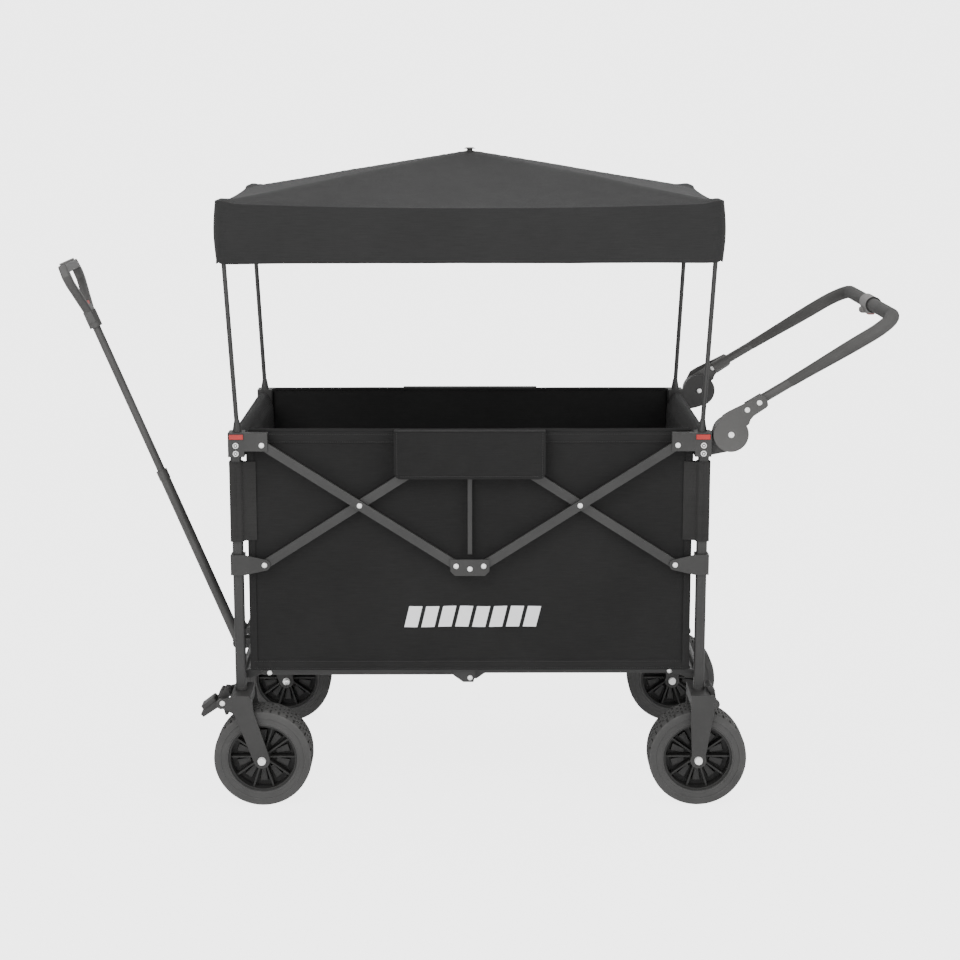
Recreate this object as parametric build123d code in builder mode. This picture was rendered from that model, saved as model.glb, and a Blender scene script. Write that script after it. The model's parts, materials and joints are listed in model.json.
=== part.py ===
from build123d import *
import os
from math import atan2, cos, degrees, hypot, radians, sin

os.makedirs("parts", exist_ok=True)

# Folding kids pull wagon with a lift-off canopy.
# +X is the rear (push handle), -X the front (pull handle), Z is up, floor at Z = 0.

# Wheels
wheel_r = 87.0
tyre_width = 62.0
tyre_inner_r = 61.0
rim_width = 52.0
rim_wall = 4.0
rim_web = 4.0
hub_r = 13.0
spoke_count = 10
spoke_thick = 3.0
axle_r = 4.0
axle_clear = 0.1
caster_trail = 38.0
rear_axle_back = -2.0  # rear axle from the leg axis
side_gap = 6.0  # tyre to fork blade
blade = 6.0
crown_low = 2 * wheel_r + 12.0
crown_top = crown_low + 20.0
stem_r = 5.0

# Overall frame
leg_x = 405.0  # leg axis from the middle, front and rear
leg_y = 240.0  # leg axis from the middle, each side
leg_size = 18.0
leg_corner = 4.0
leg_wall = 1.5
leg_bottom = crown_top + 6.0
leg_top = 662.0
running_gap = 0.4  # between parts that slide or turn on each other
soft_gap = 0.4  # between cloth and what it hangs on

# Scissor bars: long bars run from the top corners to the lower hub, cross bars from the
# sliders to the top hub, and each pair is pinned at its middle
rivet_inset = 47.0  # corner rivets, inboard of the leg axis
rivet_z = leg_top - 13.5
slider_z = 435.0
hub_half = 24.0  # hub rivet from the middle
bar_width = 16.0
bar_thick = 7.0
cross_bar_y = leg_y + 4.5  # inboard face of the cross bars
bar_gap = 0.5
pin_r = 3.0
pin_head_r = 4.4
pin_head = 1.3
pin_clear = 0.5
plate_thick = 3.0

# Corner brackets and sliders
bracket_half = leg_size / 2 + 2.0  # around the leg axis
bracket_inner_y = leg_y - bracket_half
bracket_low = leg_top - 34.0
bracket_arm_low = leg_top - 24.0
bracket_top = leg_top + 8.0
bracket_arm_end = 57.0  # inboard of the leg axis
slider_height = 36.0
slider_half = leg_size / 2 + 3.0

# Lower hinged rails
rail_pivot_inset = 40.0
rail_pivot_z = leg_bottom + 22.0
rail_height = 12.0
rail_width = 9.0
rail_y = leg_y - 23.0  # inboard face of the front rails, the rear rails lie just inside them
rail_gap = 1.0
rail_pin_z = rail_pivot_z - 11.0

# Cross tubes between the legs
cross_tube_r = 8.0
cross_tube_wall = 1.5
low_tube_z = leg_bottom + 14.0
top_tube_z = leg_top - 7.0

# Tub fabric
cloth = 3.0
tub_x = leg_x - leg_size / 2 - 9.0  # outer face of the end walls
wall_y = leg_y - 5.5  # inner face of the side walls
tub_low = rail_pivot_z + rail_height / 2 + soft_gap
tub_top = bracket_top
floor_thick = 6.0
sleeve_low = slider_z + 41.0
sleeve_high = bracket_low - 11.0
sleeve_wall = 2.2
flap_half = 132.0
flap_low = rivet_z - 59.5
flap_clear = 0.7  # outside the hub plates

# Canopy
canopy_x = leg_x + 27.0
canopy_y = leg_y + 20.0
eave_z = leg_top + 400.0
valance_low = eave_z - 103.0
peak_z = eave_z + 81.0
canopy_cloth = 3.0
pole_r = 4.0
pole_foot_x = leg_x - 3.0
pole_top_x = canopy_x - 11.0
pole_top_y = canopy_y - 11.0
pole_top_z = eave_z - 30.0
elbow_r = 6.5
elbow_top = pole_top_z + 12.0
rib_r = 3.5
peak_hub_r = 18.0

# Push handle
disc_x = leg_x + 44.0
disc_z = leg_top + 5.0
disc_r = 30.6
disc_in_y = leg_y - 4.0
disc_mid_y = leg_y + 6.0
push_angle = 31.15
push_offset = 23.3  # tube line above the disc centre
push_tube_r = 8.25
push_wall = 1.4
push_y = disc_mid_y + 1.0
push_start = 79.0  # along the tube line from the disc
push_reach = 344.0  # crossbar from the disc, along the tube line
push_corner_r = 55.0
foam_r = 12.0
foam_start = 125.0
housing_r = 14.5
housing_half = 23.0

# Pull handle
pull_x = -leg_x - 31.0
pull_z = low_tube_z
pull_lean = 22.5
pull_tube_r = 9.5
pull_wall = 1.5
pull_lower_length = 356.0
pull_inner_r = 7.3
pull_inner_start = 306.0
grip_start = 645.0
grip_end = 772.0
grip_half = 62.0
grip_thick = 16.0
grip_neck_r = 12.0

# Brake pedals
pedal_x = leg_x + 31.0
pedal_z = crown_low + 5.0
pedal_half = 18.0
rear_pedal_x = leg_x + 25.0
rear_pedal_z = crown_low + 4.0


def side(distance):
    """Sketch plane on the near side, this far from the middle, growing outwards."""
    return Plane.XZ.offset(distance)


def pin(x, z, y_from, y_to, radius):
    """Adds a pin across the width on the near side to the part in hand."""
    with BuildSketch(side(y_from)) as profile:
        with Locations((x, z)):
            Circle(radius)
    extrude(profile.sketch, amount=y_to - y_from)


def bore(x, z, y_from, y_to, radius):
    with BuildSketch(side(y_from)) as profile:
        with Locations((x, z)):
            Circle(radius)
    extrude(profile.sketch, amount=y_to - y_from, mode=Mode.SUBTRACT)


def block(x_from, x_to, y_from, y_to, z_from, z_to, mode=Mode.ADD):
    with BuildSketch(side(y_from)) as profile:
        with Locations(((x_from + x_to) / 2, (z_from + z_to) / 2)):
            Rectangle(abs(x_to - x_from), z_to - z_from)
    extrude(profile.sketch, amount=y_to - y_from, mode=mode)


def save(piece, label):
    piece.part.label = label
    export_step(piece.part, f"parts/{label}.step")


def save_rear(front, label):
    """Writes the rear copy of a piece of the front end."""
    with BuildPart() as rear:
        mirror(front.part, about=Plane.YZ)
    save(rear, label)


rivet_x = leg_x - rivet_inset
bar_run = rivet_x - hub_half
bar_drop = rivet_z - slider_z
bar_length = hypot(bar_run, bar_drop)
bar_angle = degrees(atan2(bar_drop, bar_run))
bar_mid_x = (rivet_x + hub_half) / 2
bar_mid_z = (rivet_z + slider_z) / 2
cross_bar_out = cross_bar_y + bar_thick
long_bar_y = cross_bar_out + bar_gap
long_bar_out = long_bar_y + bar_thick
outer_plate_y = long_bar_out + bar_gap
outer_plate_out = outer_plate_y + plate_thick
flap_y = outer_plate_out + flap_clear
inner_plate_y = cross_bar_out + bar_gap
inner_plate_out = inner_plate_y + plate_thick
leg_half = leg_size / 2

# ---------------------------------------------------------------- legs and cross tubes
with BuildPart() as front_legs:
    with BuildSketch(Plane.XY.offset(leg_bottom)):
        with Locations((-leg_x, -leg_y)):
            RectangleRounded(leg_size, leg_size, leg_corner)
            inner = leg_size - 2 * leg_wall
            RectangleRounded(inner, inner, leg_corner - leg_wall, mode=Mode.SUBTRACT)
    extrude(amount=leg_top - leg_bottom)
    mirror(about=Plane.XZ)
save(front_legs, "front_legs")
save_rear(front_legs, "rear_legs")

tube_half = leg_y - leg_half
with BuildPart() as front_top_tube:
    with BuildSketch(Plane.XZ.offset(-bracket_inner_y)):
        with Locations((-leg_x, top_tube_z)):
            Circle(cross_tube_r)
            Circle(cross_tube_r - cross_tube_wall, mode=Mode.SUBTRACT)
    extrude(amount=2 * bracket_inner_y)
save(front_top_tube, "front_top_tube")
save_rear(front_top_tube, "rear_top_tube")

rail_out = rail_y + rail_width
rear_rail_out = rail_y - rail_gap
rear_rail_in = rear_rail_out - rail_width
rail_pivot_x = leg_x - rail_pivot_inset
lug_half = rail_height / 2
pull_eye = 12.0
clevis_gap = 0.8
clevis_wall = 3.0


def low_tube(lug_in, lug_out, pin_end):
    """Lower cross tube with the lugs and pins that the hinged rails turn on."""
    with BuildSketch(Plane.XZ.offset(-tube_half)) as section:
        with Locations((-leg_x, low_tube_z)):
            Circle(cross_tube_r)
    extrude(section.sketch, amount=2 * tube_half)
    with BuildSketch(side(lug_in)) as lug:
        with BuildLine():
            Polyline(
                (-leg_x - 6, low_tube_z + 5),
                (-leg_x - 6, low_tube_z - 5),
                (-leg_x + 14, low_tube_z - 6),
                (-rail_pivot_x, rail_pivot_z - lug_half),
                (-rail_pivot_x, rail_pivot_z + lug_half),
                (-leg_x, rail_pivot_z),
                close=True,
            )
        make_face()
        with Locations((-rail_pivot_x, rail_pivot_z)):
            Circle(lug_half)
    extrude(lug.sketch, amount=lug_out - lug_in)
    pin(-rail_pivot_x, rail_pivot_z, min(lug_in, pin_end), max(lug_in, pin_end), pin_r)
    mirror(about=Plane.XZ)
    with BuildSketch(Plane.XZ.offset(-tube_half)) as tube_bore:
        with Locations((-leg_x, low_tube_z)):
            Circle(cross_tube_r - cross_tube_wall)
    extrude(tube_bore.sketch, amount=2 * tube_half, mode=Mode.SUBTRACT)


clevis_in = pull_eye + clevis_gap
clevis_out = clevis_in + clevis_wall
with BuildPart() as front_low_tube:
    low_tube(rail_y - 4.5, rail_y - 0.5, rail_out + 0.6)
    with BuildSketch(side(clevis_in)):
        with BuildLine():
            Polyline(
                (-leg_x, low_tube_z + 7.9),
                (-leg_x, low_tube_z - 7.9),
                (pull_x, pull_z - 10),
                (pull_x, pull_z + 10),
                close=True,
            )
        make_face()
        with Locations((pull_x, pull_z)):
            Circle(10)
        with Locations((-leg_x, low_tube_z)):
            Circle(cross_tube_r - 0.5, mode=Mode.SUBTRACT)
    extrude(amount=clevis_wall)
    mirror(about=Plane.XZ)
    with BuildSketch(side(-clevis_out)):
        with Locations((pull_x, pull_z)):
            Circle(pin_r + 1)
    extrude(amount=2 * clevis_out)
save(front_low_tube, "front_low_tube")

with BuildPart() as rear_low_base:
    low_tube(rear_rail_out + 0.5, rear_rail_out + 4.5, rear_rail_in - 0.6)
save_rear(rear_low_base, "rear_low_tube")

# ---------------------------------------------------------------- corner brackets
pin_bore_r = pin_r + pin_clear
arm_in_y = long_bar_y - bar_gap - 3.0
label_z = leg_top + 1.0


def bracket_body():
    block(-leg_x - bracket_half, -leg_x + bracket_half + 6, bracket_inner_y, outer_plate_out,
          bracket_arm_low, bracket_top)
    block(-leg_x - bracket_half, -leg_x + bracket_half + 6, bracket_inner_y, outer_plate_out,
          bracket_low, bracket_arm_low)
    block(-leg_x, -leg_x + bracket_arm_end, arm_in_y, outer_plate_out,
          bracket_arm_low, bracket_top)
    slot_end = -rivet_x - bar_width / 2 - 1.0
    block(slot_end, -leg_x + bracket_arm_end + 1, long_bar_y - 0.3, long_bar_out + 0.3,
          bracket_arm_low - 1, rivet_z + bar_width / 2 + 1, mode=Mode.SUBTRACT)
    pin(-rivet_x, rivet_z, long_bar_y - 0.3, outer_plate_out + pin_head, pin_r)
    pin(-rivet_x, rivet_z, outer_plate_out, outer_plate_out + pin_head, pin_head_r)
    for screw_z in (leg_top - 14.0, leg_top - 28.0):
        pin(-leg_x + 2.5, screw_z, outer_plate_out, outer_plate_out + 1.6, 5.0)
    block(-leg_x - 8, -leg_x + 15, outer_plate_out, outer_plate_out + 0.8,
          label_z - 4, label_z + 4)
    with BuildSketch(Plane.XY.offset(bracket_low)) as socket:
        with Locations((-leg_x, -leg_y)):
            Rectangle(leg_size, leg_size)
    extrude(socket.sketch, amount=leg_top - bracket_low, mode=Mode.SUBTRACT)


with BuildPart() as front_brackets:
    bracket_body()
    mirror(about=Plane.XZ)
save(front_brackets, "front_brackets")

with BuildPart() as rear_bracket_base:
    bracket_body()
    with BuildSketch(side(disc_in_y)):
        with BuildLine():
            Polyline(
                (-leg_x - bracket_half, bracket_top),
                (-leg_x - bracket_half, bracket_low),
                (-disc_x + 6, disc_z - disc_r - 3),
                (-disc_x - 8, disc_z - disc_r + 1.5),
                (-disc_x, disc_z),
                close=True,
            )
        make_face()
        with Locations((-disc_x, disc_z)):
            Circle(disc_r)
            Circle(pin_r + 1 + pin_clear, mode=Mode.SUBTRACT)
    extrude(amount=disc_mid_y - disc_in_y)
    mirror(about=Plane.XZ)
save_rear(rear_bracket_base, "rear_brackets")

# ---------------------------------------------------------------- scissor bars
def bar(x_sign, y_from, z_sign):
    """One flat bar on each side, z_sign +1 where its outer end is the upper one."""
    with BuildSketch(side(y_from)) as flat:
        with Locations((x_sign * bar_mid_x, bar_mid_z)):
            SlotCenterToCenter(bar_length, bar_width, rotation=x_sign * z_sign * bar_angle)
    extrude(flat.sketch, amount=bar_thick)


def bar_bores(x_sign, y_from, spots):
    for x, z in spots:
        bore(x_sign * x, z, y_from - 1, y_from + bar_thick + 1, pin_bore_r)


for end, sign in (("front", -1), ("rear", 1)):
    with BuildPart() as long_bars:
        bar(sign, long_bar_y, 1)
        bar_bores(sign, long_bar_y, [(rivet_x, rivet_z), (hub_half, slider_z)])
        pin(sign * bar_mid_x, bar_mid_z, cross_bar_y - pin_head, long_bar_y, pin_r)
        pin(sign * bar_mid_x, bar_mid_z, long_bar_out, long_bar_out + pin_head, pin_head_r)
        mirror(about=Plane.XZ)
    save(long_bars, f"{end}_long_bars")

    with BuildPart() as cross_bars:
        bar(sign, cross_bar_y, -1)
        bar_bores(sign, cross_bar_y,
                  [(rivet_x, slider_z), (hub_half, rivet_z), (bar_mid_x, bar_mid_z)])
        mirror(about=Plane.XZ)
    save(cross_bars, f"{end}_cross_bars")

# ---------------------------------------------------------------- sliders on the legs
slider_low = slider_z - slider_height / 2
with BuildPart() as front_sliders:
    block(-leg_x - slider_half, -leg_x + slider_half, leg_y - slider_half, inner_plate_out,
          slider_low, slider_low + slider_height)
    with BuildSketch(side(inner_plate_y)):
        with BuildLine():
            Polyline(
                (-leg_x, slider_low),
                (-leg_x, slider_low + slider_height),
                (-leg_x + slider_half, slider_low + slider_height),
                (-rivet_x, slider_z + 10),
                (-rivet_x, slider_z - 10),
                (-leg_x + slider_half, slider_low),
                close=True,
            )
        make_face()
        with Locations((-rivet_x, slider_z)):
            Circle(10)
    extrude(amount=plate_thick)
    pin(-rivet_x, slider_z, cross_bar_y - 0.6, inner_plate_y, pin_r)
    pin(-rivet_x, slider_z, inner_plate_out, inner_plate_out + pin_head, pin_head_r)
    hole = leg_size + 2 * running_gap
    with BuildSketch(Plane.XY.offset(slider_low)):
        with Locations((-leg_x, -leg_y)):
            RectangleRounded(hole, hole, leg_corner)
    extrude(amount=slider_height, mode=Mode.SUBTRACT)
    mirror(about=Plane.XZ)
save(front_sliders, "front_sliders")
save_rear(front_sliders, "rear_sliders")

# ---------------------------------------------------------------- middle hubs
strut_low = slider_z + 18.0
with BuildPart() as top_hubs:
    with BuildSketch(side(inner_plate_y)):
        with Locations((0, rivet_z)):
            RectangleRounded(2 * hub_half + 26, 28, 12)
    extrude(amount=plate_thick)
    for x in (-hub_half, hub_half):
        pin(x, rivet_z, cross_bar_y - 0.6, inner_plate_y, pin_r)
        pin(x, rivet_z, inner_plate_out, inner_plate_out + pin_head, pin_head_r)
    block(-4, 4, cross_bar_y + 1, cross_bar_out - 1, strut_low, rivet_z + 6)
    block(-4, 4, cross_bar_out - 1, inner_plate_y, rivet_z - 10, rivet_z + 6)
    mirror(about=Plane.XZ)
save(top_hubs, "top_hubs")

with BuildPart() as lower_hubs:
    with BuildSketch(side(outer_plate_y)) as hub_plate:
        with Locations((0, slider_z - 3)):
            Rectangle(2 * hub_half + 20, 29)
        chamfer(hub_plate.vertices().group_by(Axis.Y)[0], 8)
    extrude(amount=plate_thick)
    for x in (-hub_half, hub_half):
        pin(x, slider_z, long_bar_y - 0.3, outer_plate_y, pin_r)
        pin(x, slider_z, outer_plate_out, outer_plate_out + pin_head, pin_head_r)
    pin(0, slider_z - 5, outer_plate_out, outer_plate_out + pin_head, pin_head_r)
    mirror(about=Plane.XZ)
save(lower_hubs, "lower_hubs")

# ---------------------------------------------------------------- hinged lower rails
def rail(x_sign, y_from, plate_in, plate_out):
    """Rail from its end pivot to the middle, with the hinge leaf on one face."""
    with BuildSketch(side(y_from)) as tube:
        with Locations((x_sign * (rail_pivot_x / 2), rail_pivot_z)):
            Rectangle(rail_pivot_x, rail_height)
        with Locations((x_sign * rail_pivot_x, rail_pivot_z)):
            Circle(rail_height / 2)
    extrude(tube.sketch, amount=rail_width)
    with BuildSketch(side(plate_in)) as leaf:
        with BuildLine():
            Polyline(
                (x_sign * 30, rail_pivot_z + lug_half),
                (x_sign * 30, rail_pivot_z - lug_half),
                (x_sign * 12, rail_pin_z - 8),
                (x_sign * -6, rail_pin_z - 8),
                (x_sign * -9, rail_pin_z + 2),
                (x_sign * -9, rail_pivot_z + lug_half),
                close=True,
            )
        make_face()
    extrude(leaf.sketch, amount=plate_out - plate_in)


with BuildPart() as front_rails:
    rail(-1, rail_y, rail_out, rail_out + 2.6)
    bore(-rail_pivot_x, rail_pivot_z, rail_y - 1, rail_out + 1, pin_bore_r)
    pin(0, rail_pin_z, rail_out + 2.6, rail_out + 2.6 + pin_head, pin_head_r)
    mirror(about=Plane.XZ)
save(front_rails, "front_rails")

with BuildPart() as rear_rails:
    rail(1, rear_rail_in, rear_rail_in - 2.6, rear_rail_in)
    bore(rail_pivot_x, rail_pivot_z, rear_rail_in - 1, rear_rail_out + 1, pin_bore_r)
    bore(0, rail_pin_z, rear_rail_in - 4, rear_rail_out + 1, pin_bore_r)
    mirror(about=Plane.XZ)
save(rear_rails, "rear_rails")

# ---------------------------------------------------------------- casters and forks
blade_in = tyre_width / 2 + side_gap  # fork blade from the wheel's middle plane
stem_top = leg_bottom + 22
stem_gap = 0.1
plug = leg_size - 2 * leg_wall - 0.1

with BuildPart() as front_leg_caps:
    with Locations((-leg_x, -leg_y, crown_top + 0.4)):
        Cylinder(10.5, leg_bottom - crown_top - 0.4, align=(Align.CENTER, Align.CENTER, Align.MIN))
    with BuildSketch(Plane.XY.offset(leg_bottom)):
        with Locations((-leg_x, -leg_y)):
            RectangleRounded(plug, plug, 2.4)
    extrude(amount=stem_top + 3 - leg_bottom)
    with BuildSketch(Plane.XY.offset(crown_top)):
        with Locations((-leg_x, -leg_y)):
            Circle(stem_r + stem_gap)
    extrude(amount=stem_top + 0.4 - crown_top, mode=Mode.SUBTRACT)
    mirror(about=Plane.XZ)
save(front_leg_caps, "front_leg_caps")

front_axle_x = -leg_x + caster_trail
rear_axle_x = leg_x + rear_axle_back


def fork_blades(outline, eye_x, ear, centre_y):
    """Two fork blades on one side, with the axle eye, the pedal ear and their holes."""
    for y_from in (centre_y - blade_in - blade, centre_y + blade_in):
        with BuildSketch(side(y_from)) as cheek:
            with BuildLine():
                Polyline(*outline, close=True)
            make_face()
            with Locations((eye_x, wheel_r)):
                Circle(14)
            with Locations(ear):
                Circle(8.5)
            with Locations((eye_x, wheel_r)):
                Circle(axle_r + axle_clear, mode=Mode.SUBTRACT)
            with Locations(ear):
                Circle(pin_r + axle_clear, mode=Mode.SUBTRACT)
        extrude(cheek.sketch, amount=blade)


for name, y_sign in (("near", 1), ("far", -1)):
    centre = y_sign * leg_y
    with BuildPart() as caster_fork:
        fork_blades(
            [
                (-leg_x - 15, crown_top), (-leg_x + 17, crown_top), (-leg_x + 23, crown_top - 8),
                (-leg_x + 24, crown_low - 6), (front_axle_x + 13.5, wheel_r + 6),
                (front_axle_x - 13.5, wheel_r - 4), (-leg_x + 10, wheel_r + 36),
                (-leg_x - 9, crown_low - 13),
                (-pedal_x + 3, pedal_z - 8), (-pedal_x, pedal_z + 8), (-leg_x - 15, crown_top - 3),
            ],
            front_axle_x, (-pedal_x, pedal_z), centre,
        )
        block(-leg_x - 15, -leg_x + 20, centre - blade_in, centre + blade_in,
              crown_low, crown_top)
        with Locations((-leg_x, -centre, crown_top)):
            Cylinder(stem_r, stem_top - crown_top, align=(Align.CENTER, Align.CENTER, Align.MIN))
        fillet(
            caster_fork.edges().filter_by(Axis.Y).filter_by_position(
                Axis.Z, crown_top - 1, crown_top + 1)
            .filter_by(lambda e: e.length > 2 * blade_in), 2)
    save(caster_fork, f"caster_fork_{name}")

with BuildPart() as rear_forks:
    fork_blades(
        [
            (leg_x - 17, crown_top), (leg_x + 24, crown_top), (leg_x + 24.5, crown_low - 6),
            (leg_x + 10.5, wheel_r + 8), (leg_x - 13.5, wheel_r + 2),
            (leg_x - 17, crown_low - 26),
        ],
        rear_axle_x, (rear_pedal_x, rear_pedal_z), leg_y,
    )
    block(leg_x - 17, leg_x + 16, leg_y - blade_in, leg_y + blade_in, crown_low, crown_top)
    with Locations((leg_x, -leg_y, crown_top)):
        Cylinder(10.5, leg_bottom - crown_top, align=(Align.CENTER, Align.CENTER, Align.MIN))
    with BuildSketch(Plane.XY.offset(leg_bottom)):
        with Locations((leg_x, -leg_y)):
            RectangleRounded(plug, plug, 2.4)
    extrude(amount=25)
    mirror(about=Plane.XZ)
save(rear_forks, "rear_forks")


def axle(x, centre_y):
    reach = blade_in + blade
    pin(x, wheel_r, centre_y - reach - 5, centre_y + reach + 5, axle_r)
    pin(x, wheel_r, centre_y + reach, centre_y + reach + 5, 6.5)
    pin(x, wheel_r, centre_y - reach - 5, centre_y - reach, 6.5)


for name, centre in (("near", leg_y), ("far", -leg_y)):
    with BuildPart() as front_axle:
        axle(front_axle_x, centre)
    save(front_axle, f"front_axle_{name}")

with BuildPart() as rear_axles:
    axle(rear_axle_x, leg_y)
    mirror(about=Plane.XZ)
save(rear_axles, "rear_axles")

# ---------------------------------------------------------------- wheels
for end, x in (("front", front_axle_x), ("rear", rear_axle_x)):
    for name, y in (("near", -leg_y), ("far", leg_y)):
        wheel_plane = Plane(origin=(x, y, wheel_r), x_dir=(1, 0, 0), z_dir=(0, -1, 0))
        with BuildPart(wheel_plane) as tyre:
            Cylinder(wheel_r, tyre_width)
            fillet(tyre.edges().filter_by(GeomType.CIRCLE), 11)
            Cylinder(tyre_inner_r, tyre_width + 2, mode=Mode.SUBTRACT)
        save(tyre, f"{end}_tyre_{name}")

        with BuildPart(wheel_plane) as rim:
            Cylinder(tyre_inner_r, rim_width)
            Cylinder(tyre_inner_r - rim_wall, rim_width + 2, mode=Mode.SUBTRACT)
            Cylinder(tyre_inner_r - 1, rim_web)
            Cylinder(hub_r, tyre_width + 2 * side_gap - 2)
            with PolarLocations((hub_r + tyre_inner_r - rim_wall) / 2, spoke_count):
                Box(tyre_inner_r - rim_wall - hub_r + 4, spoke_thick, rim_width - 14)
            Cylinder(axle_r + axle_clear, tyre_width + 40, mode=Mode.SUBTRACT)
        save(rim, f"{end}_rim_{name}")

# ---------------------------------------------------------------- brake pedals
for name, y_sign in (("near", 1), ("far", -1)):
    centre = y_sign * leg_y
    with BuildPart() as pedal:
        pin(-pedal_x, pedal_z, centre - blade_in - blade, centre + blade_in + blade, pin_r)
        pin(-pedal_x, pedal_z, centre - 30, centre + 30, 6.5)
        with BuildSketch(side(centre - pedal_half)):
            with BuildLine():
                Polyline(
                    (-pedal_x, pedal_z + 6.5), (-pedal_x - 36, pedal_z - 20),
                    (-pedal_x - 40, pedal_z - 26), (-pedal_x - 35, pedal_z - 31),
                    (-pedal_x + 2, pedal_z - 6), close=True,
                )
            make_face()
            with BuildLine():
                Polyline(
                    (-pedal_x - 4, pedal_z), (-pedal_x + 2, pedal_z + 18),
                    (-pedal_x + 9, pedal_z + 18), (-pedal_x + 14, pedal_z + 10),
                    (-pedal_x + 6, pedal_z - 2), close=True,
                )
            make_face()
            with BuildLine():
                Polyline(
                    (-pedal_x - 4, pedal_z), (-pedal_x + 4, pedal_z - 27),
                    (-pedal_x + 9, pedal_z - 26), (-pedal_x + 5, pedal_z), close=True,
                )
            make_face()
        extrude(amount=2 * pedal_half)
    save(pedal, f"front_pedal_{name}")

    with BuildPart() as rear_pedal:
        pin(rear_pedal_x, rear_pedal_z, centre - blade_in - blade, centre + blade_in + blade, pin_r)
        pin(rear_pedal_x, rear_pedal_z, centre - 30, centre + 30, 6)
        with BuildSketch(side(centre - pedal_half)):
            with BuildLine():
                Polyline(
                    (rear_pedal_x - 4, rear_pedal_z - 3), (rear_pedal_x - 5.5, rear_pedal_z + 12),
                    (rear_pedal_x - 12, rear_pedal_z + 24), (rear_pedal_x - 6, rear_pedal_z + 28),
                    (rear_pedal_x + 3, rear_pedal_z + 14), (rear_pedal_x + 5, rear_pedal_z),
                    close=True,
                )
            make_face()
        extrude(amount=2 * pedal_half)
    save(rear_pedal, f"rear_pedal_{name}")

# ---------------------------------------------------------------- tub cloth
leg_clear = leg_half + soft_gap
sleeve_out = leg_clear + sleeve_wall
panel_bend = bracket_arm_low + 2.0
with BuildPart() as front_panel:
    with BuildSketch(Plane.XZ.offset(-(wall_y - 1.0))):
        with BuildLine():
            Polyline(
                (-tub_x, tub_low), (-tub_x + cloth, tub_low), (-tub_x + cloth, panel_bend),
                (-tub_x, panel_bend), close=True,
            )
        make_face()
    extrude(amount=2 * (wall_y - 1.0))
    hem_low = top_tube_z + cross_tube_r + soft_gap
    with BuildSketch(Plane.XZ.offset(-(bracket_inner_y - soft_gap))):
        with BuildLine():
            Polyline(
                (-tub_x, panel_bend), (-tub_x + cloth, panel_bend), (-leg_x + 14, tub_top + 2),
                (-leg_x - 12, tub_top + 2), (-leg_x - 12, hem_low), (-leg_x + 8, hem_low),
                (-leg_x + 10, hem_low - 4), close=True,
            )
        make_face()
    extrude(amount=2 * (bracket_inner_y - soft_gap))
    with BuildSketch(Plane.XY.offset(sleeve_low)):
        with Locations((-leg_x, -leg_y)):
            RectangleRounded(2 * sleeve_out, 2 * sleeve_out, leg_corner + 2)
            RectangleRounded(2 * leg_clear, 2 * leg_clear, leg_corner, mode=Mode.SUBTRACT)
        with Locations((-(leg_x - sleeve_out + tub_x) / 2, -(wall_y - 4))):
            Rectangle(leg_x - sleeve_out - tub_x + 1.5, 3)
    extrude(amount=sleeve_high - sleeve_low)
    mirror(about=Plane.XZ)
save(front_panel, "front_panel")
save_rear(front_panel, "rear_panel")

wall_half = tub_x - cloth - soft_gap
with BuildPart() as side_walls:
    block(-wall_half, wall_half, wall_y, wall_y + cloth, tub_low, tub_top)
    mirror(about=Plane.XZ)
save(side_walls, "side_walls")

with BuildPart() as floor_mat:
    with BuildSketch(Plane.XY.offset(tub_low)):
        Rectangle(2 * wall_half, 2 * (wall_y - soft_gap))
    extrude(amount=floor_thick)
save(floor_mat, "floor_mat")

with BuildPart() as hub_flaps:
    with BuildSketch(Plane.YZ.offset(-flap_half)):
        with BuildLine():
            Polyline(
                (-wall_y - 0.5, tub_top + soft_gap), (-flap_y, tub_top + soft_gap),
                (-flap_y, flap_low), (-flap_y - 2, flap_low),
                (-flap_y - 2, tub_top + soft_gap + 2), (-wall_y - 0.5, tub_top + soft_gap + 2),
                close=True,
            )
        make_face()
    extrude(amount=2 * flap_half)
    mirror(about=Plane.XZ)
save(hub_flaps, "hub_flaps")

# ---------------------------------------------------------------- canopy
foot_height = 20.0
with BuildPart() as front_poles:
    with Locations((-pole_foot_x, -leg_y, bracket_top)):
        Cone(8, pole_r + 0.3, foot_height, align=(Align.CENTER, Align.CENTER, Align.MIN))
    lean = Vector(pole_foot_x - pole_top_x, leg_y - pole_top_y, pole_top_z - bracket_top - 10)
    pole_plane = Plane(origin=(-pole_foot_x, -leg_y, bracket_top + 10), z_dir=lean)
    with BuildSketch(pole_plane):
        Circle(pole_r)
    extrude(amount=lean.length)
    mirror(about=Plane.XZ)
save(front_poles, "front_poles")
save_rear(front_poles, "rear_poles")

with BuildPart() as front_elbows:
    with Locations((-pole_top_x, -pole_top_y, pole_top_z - 26)):
        Cylinder(elbow_r, elbow_top - pole_top_z + 26,
                 align=(Align.CENTER, Align.CENTER, Align.MIN))
    with BuildSketch(pole_plane):
        Circle(pole_r + 0.05)
    extrude(amount=lean.length + 0.05, mode=Mode.SUBTRACT)
    mirror(about=Plane.XZ)
save(front_elbows, "front_elbows")
save_rear(front_elbows, "rear_elbows")

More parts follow.
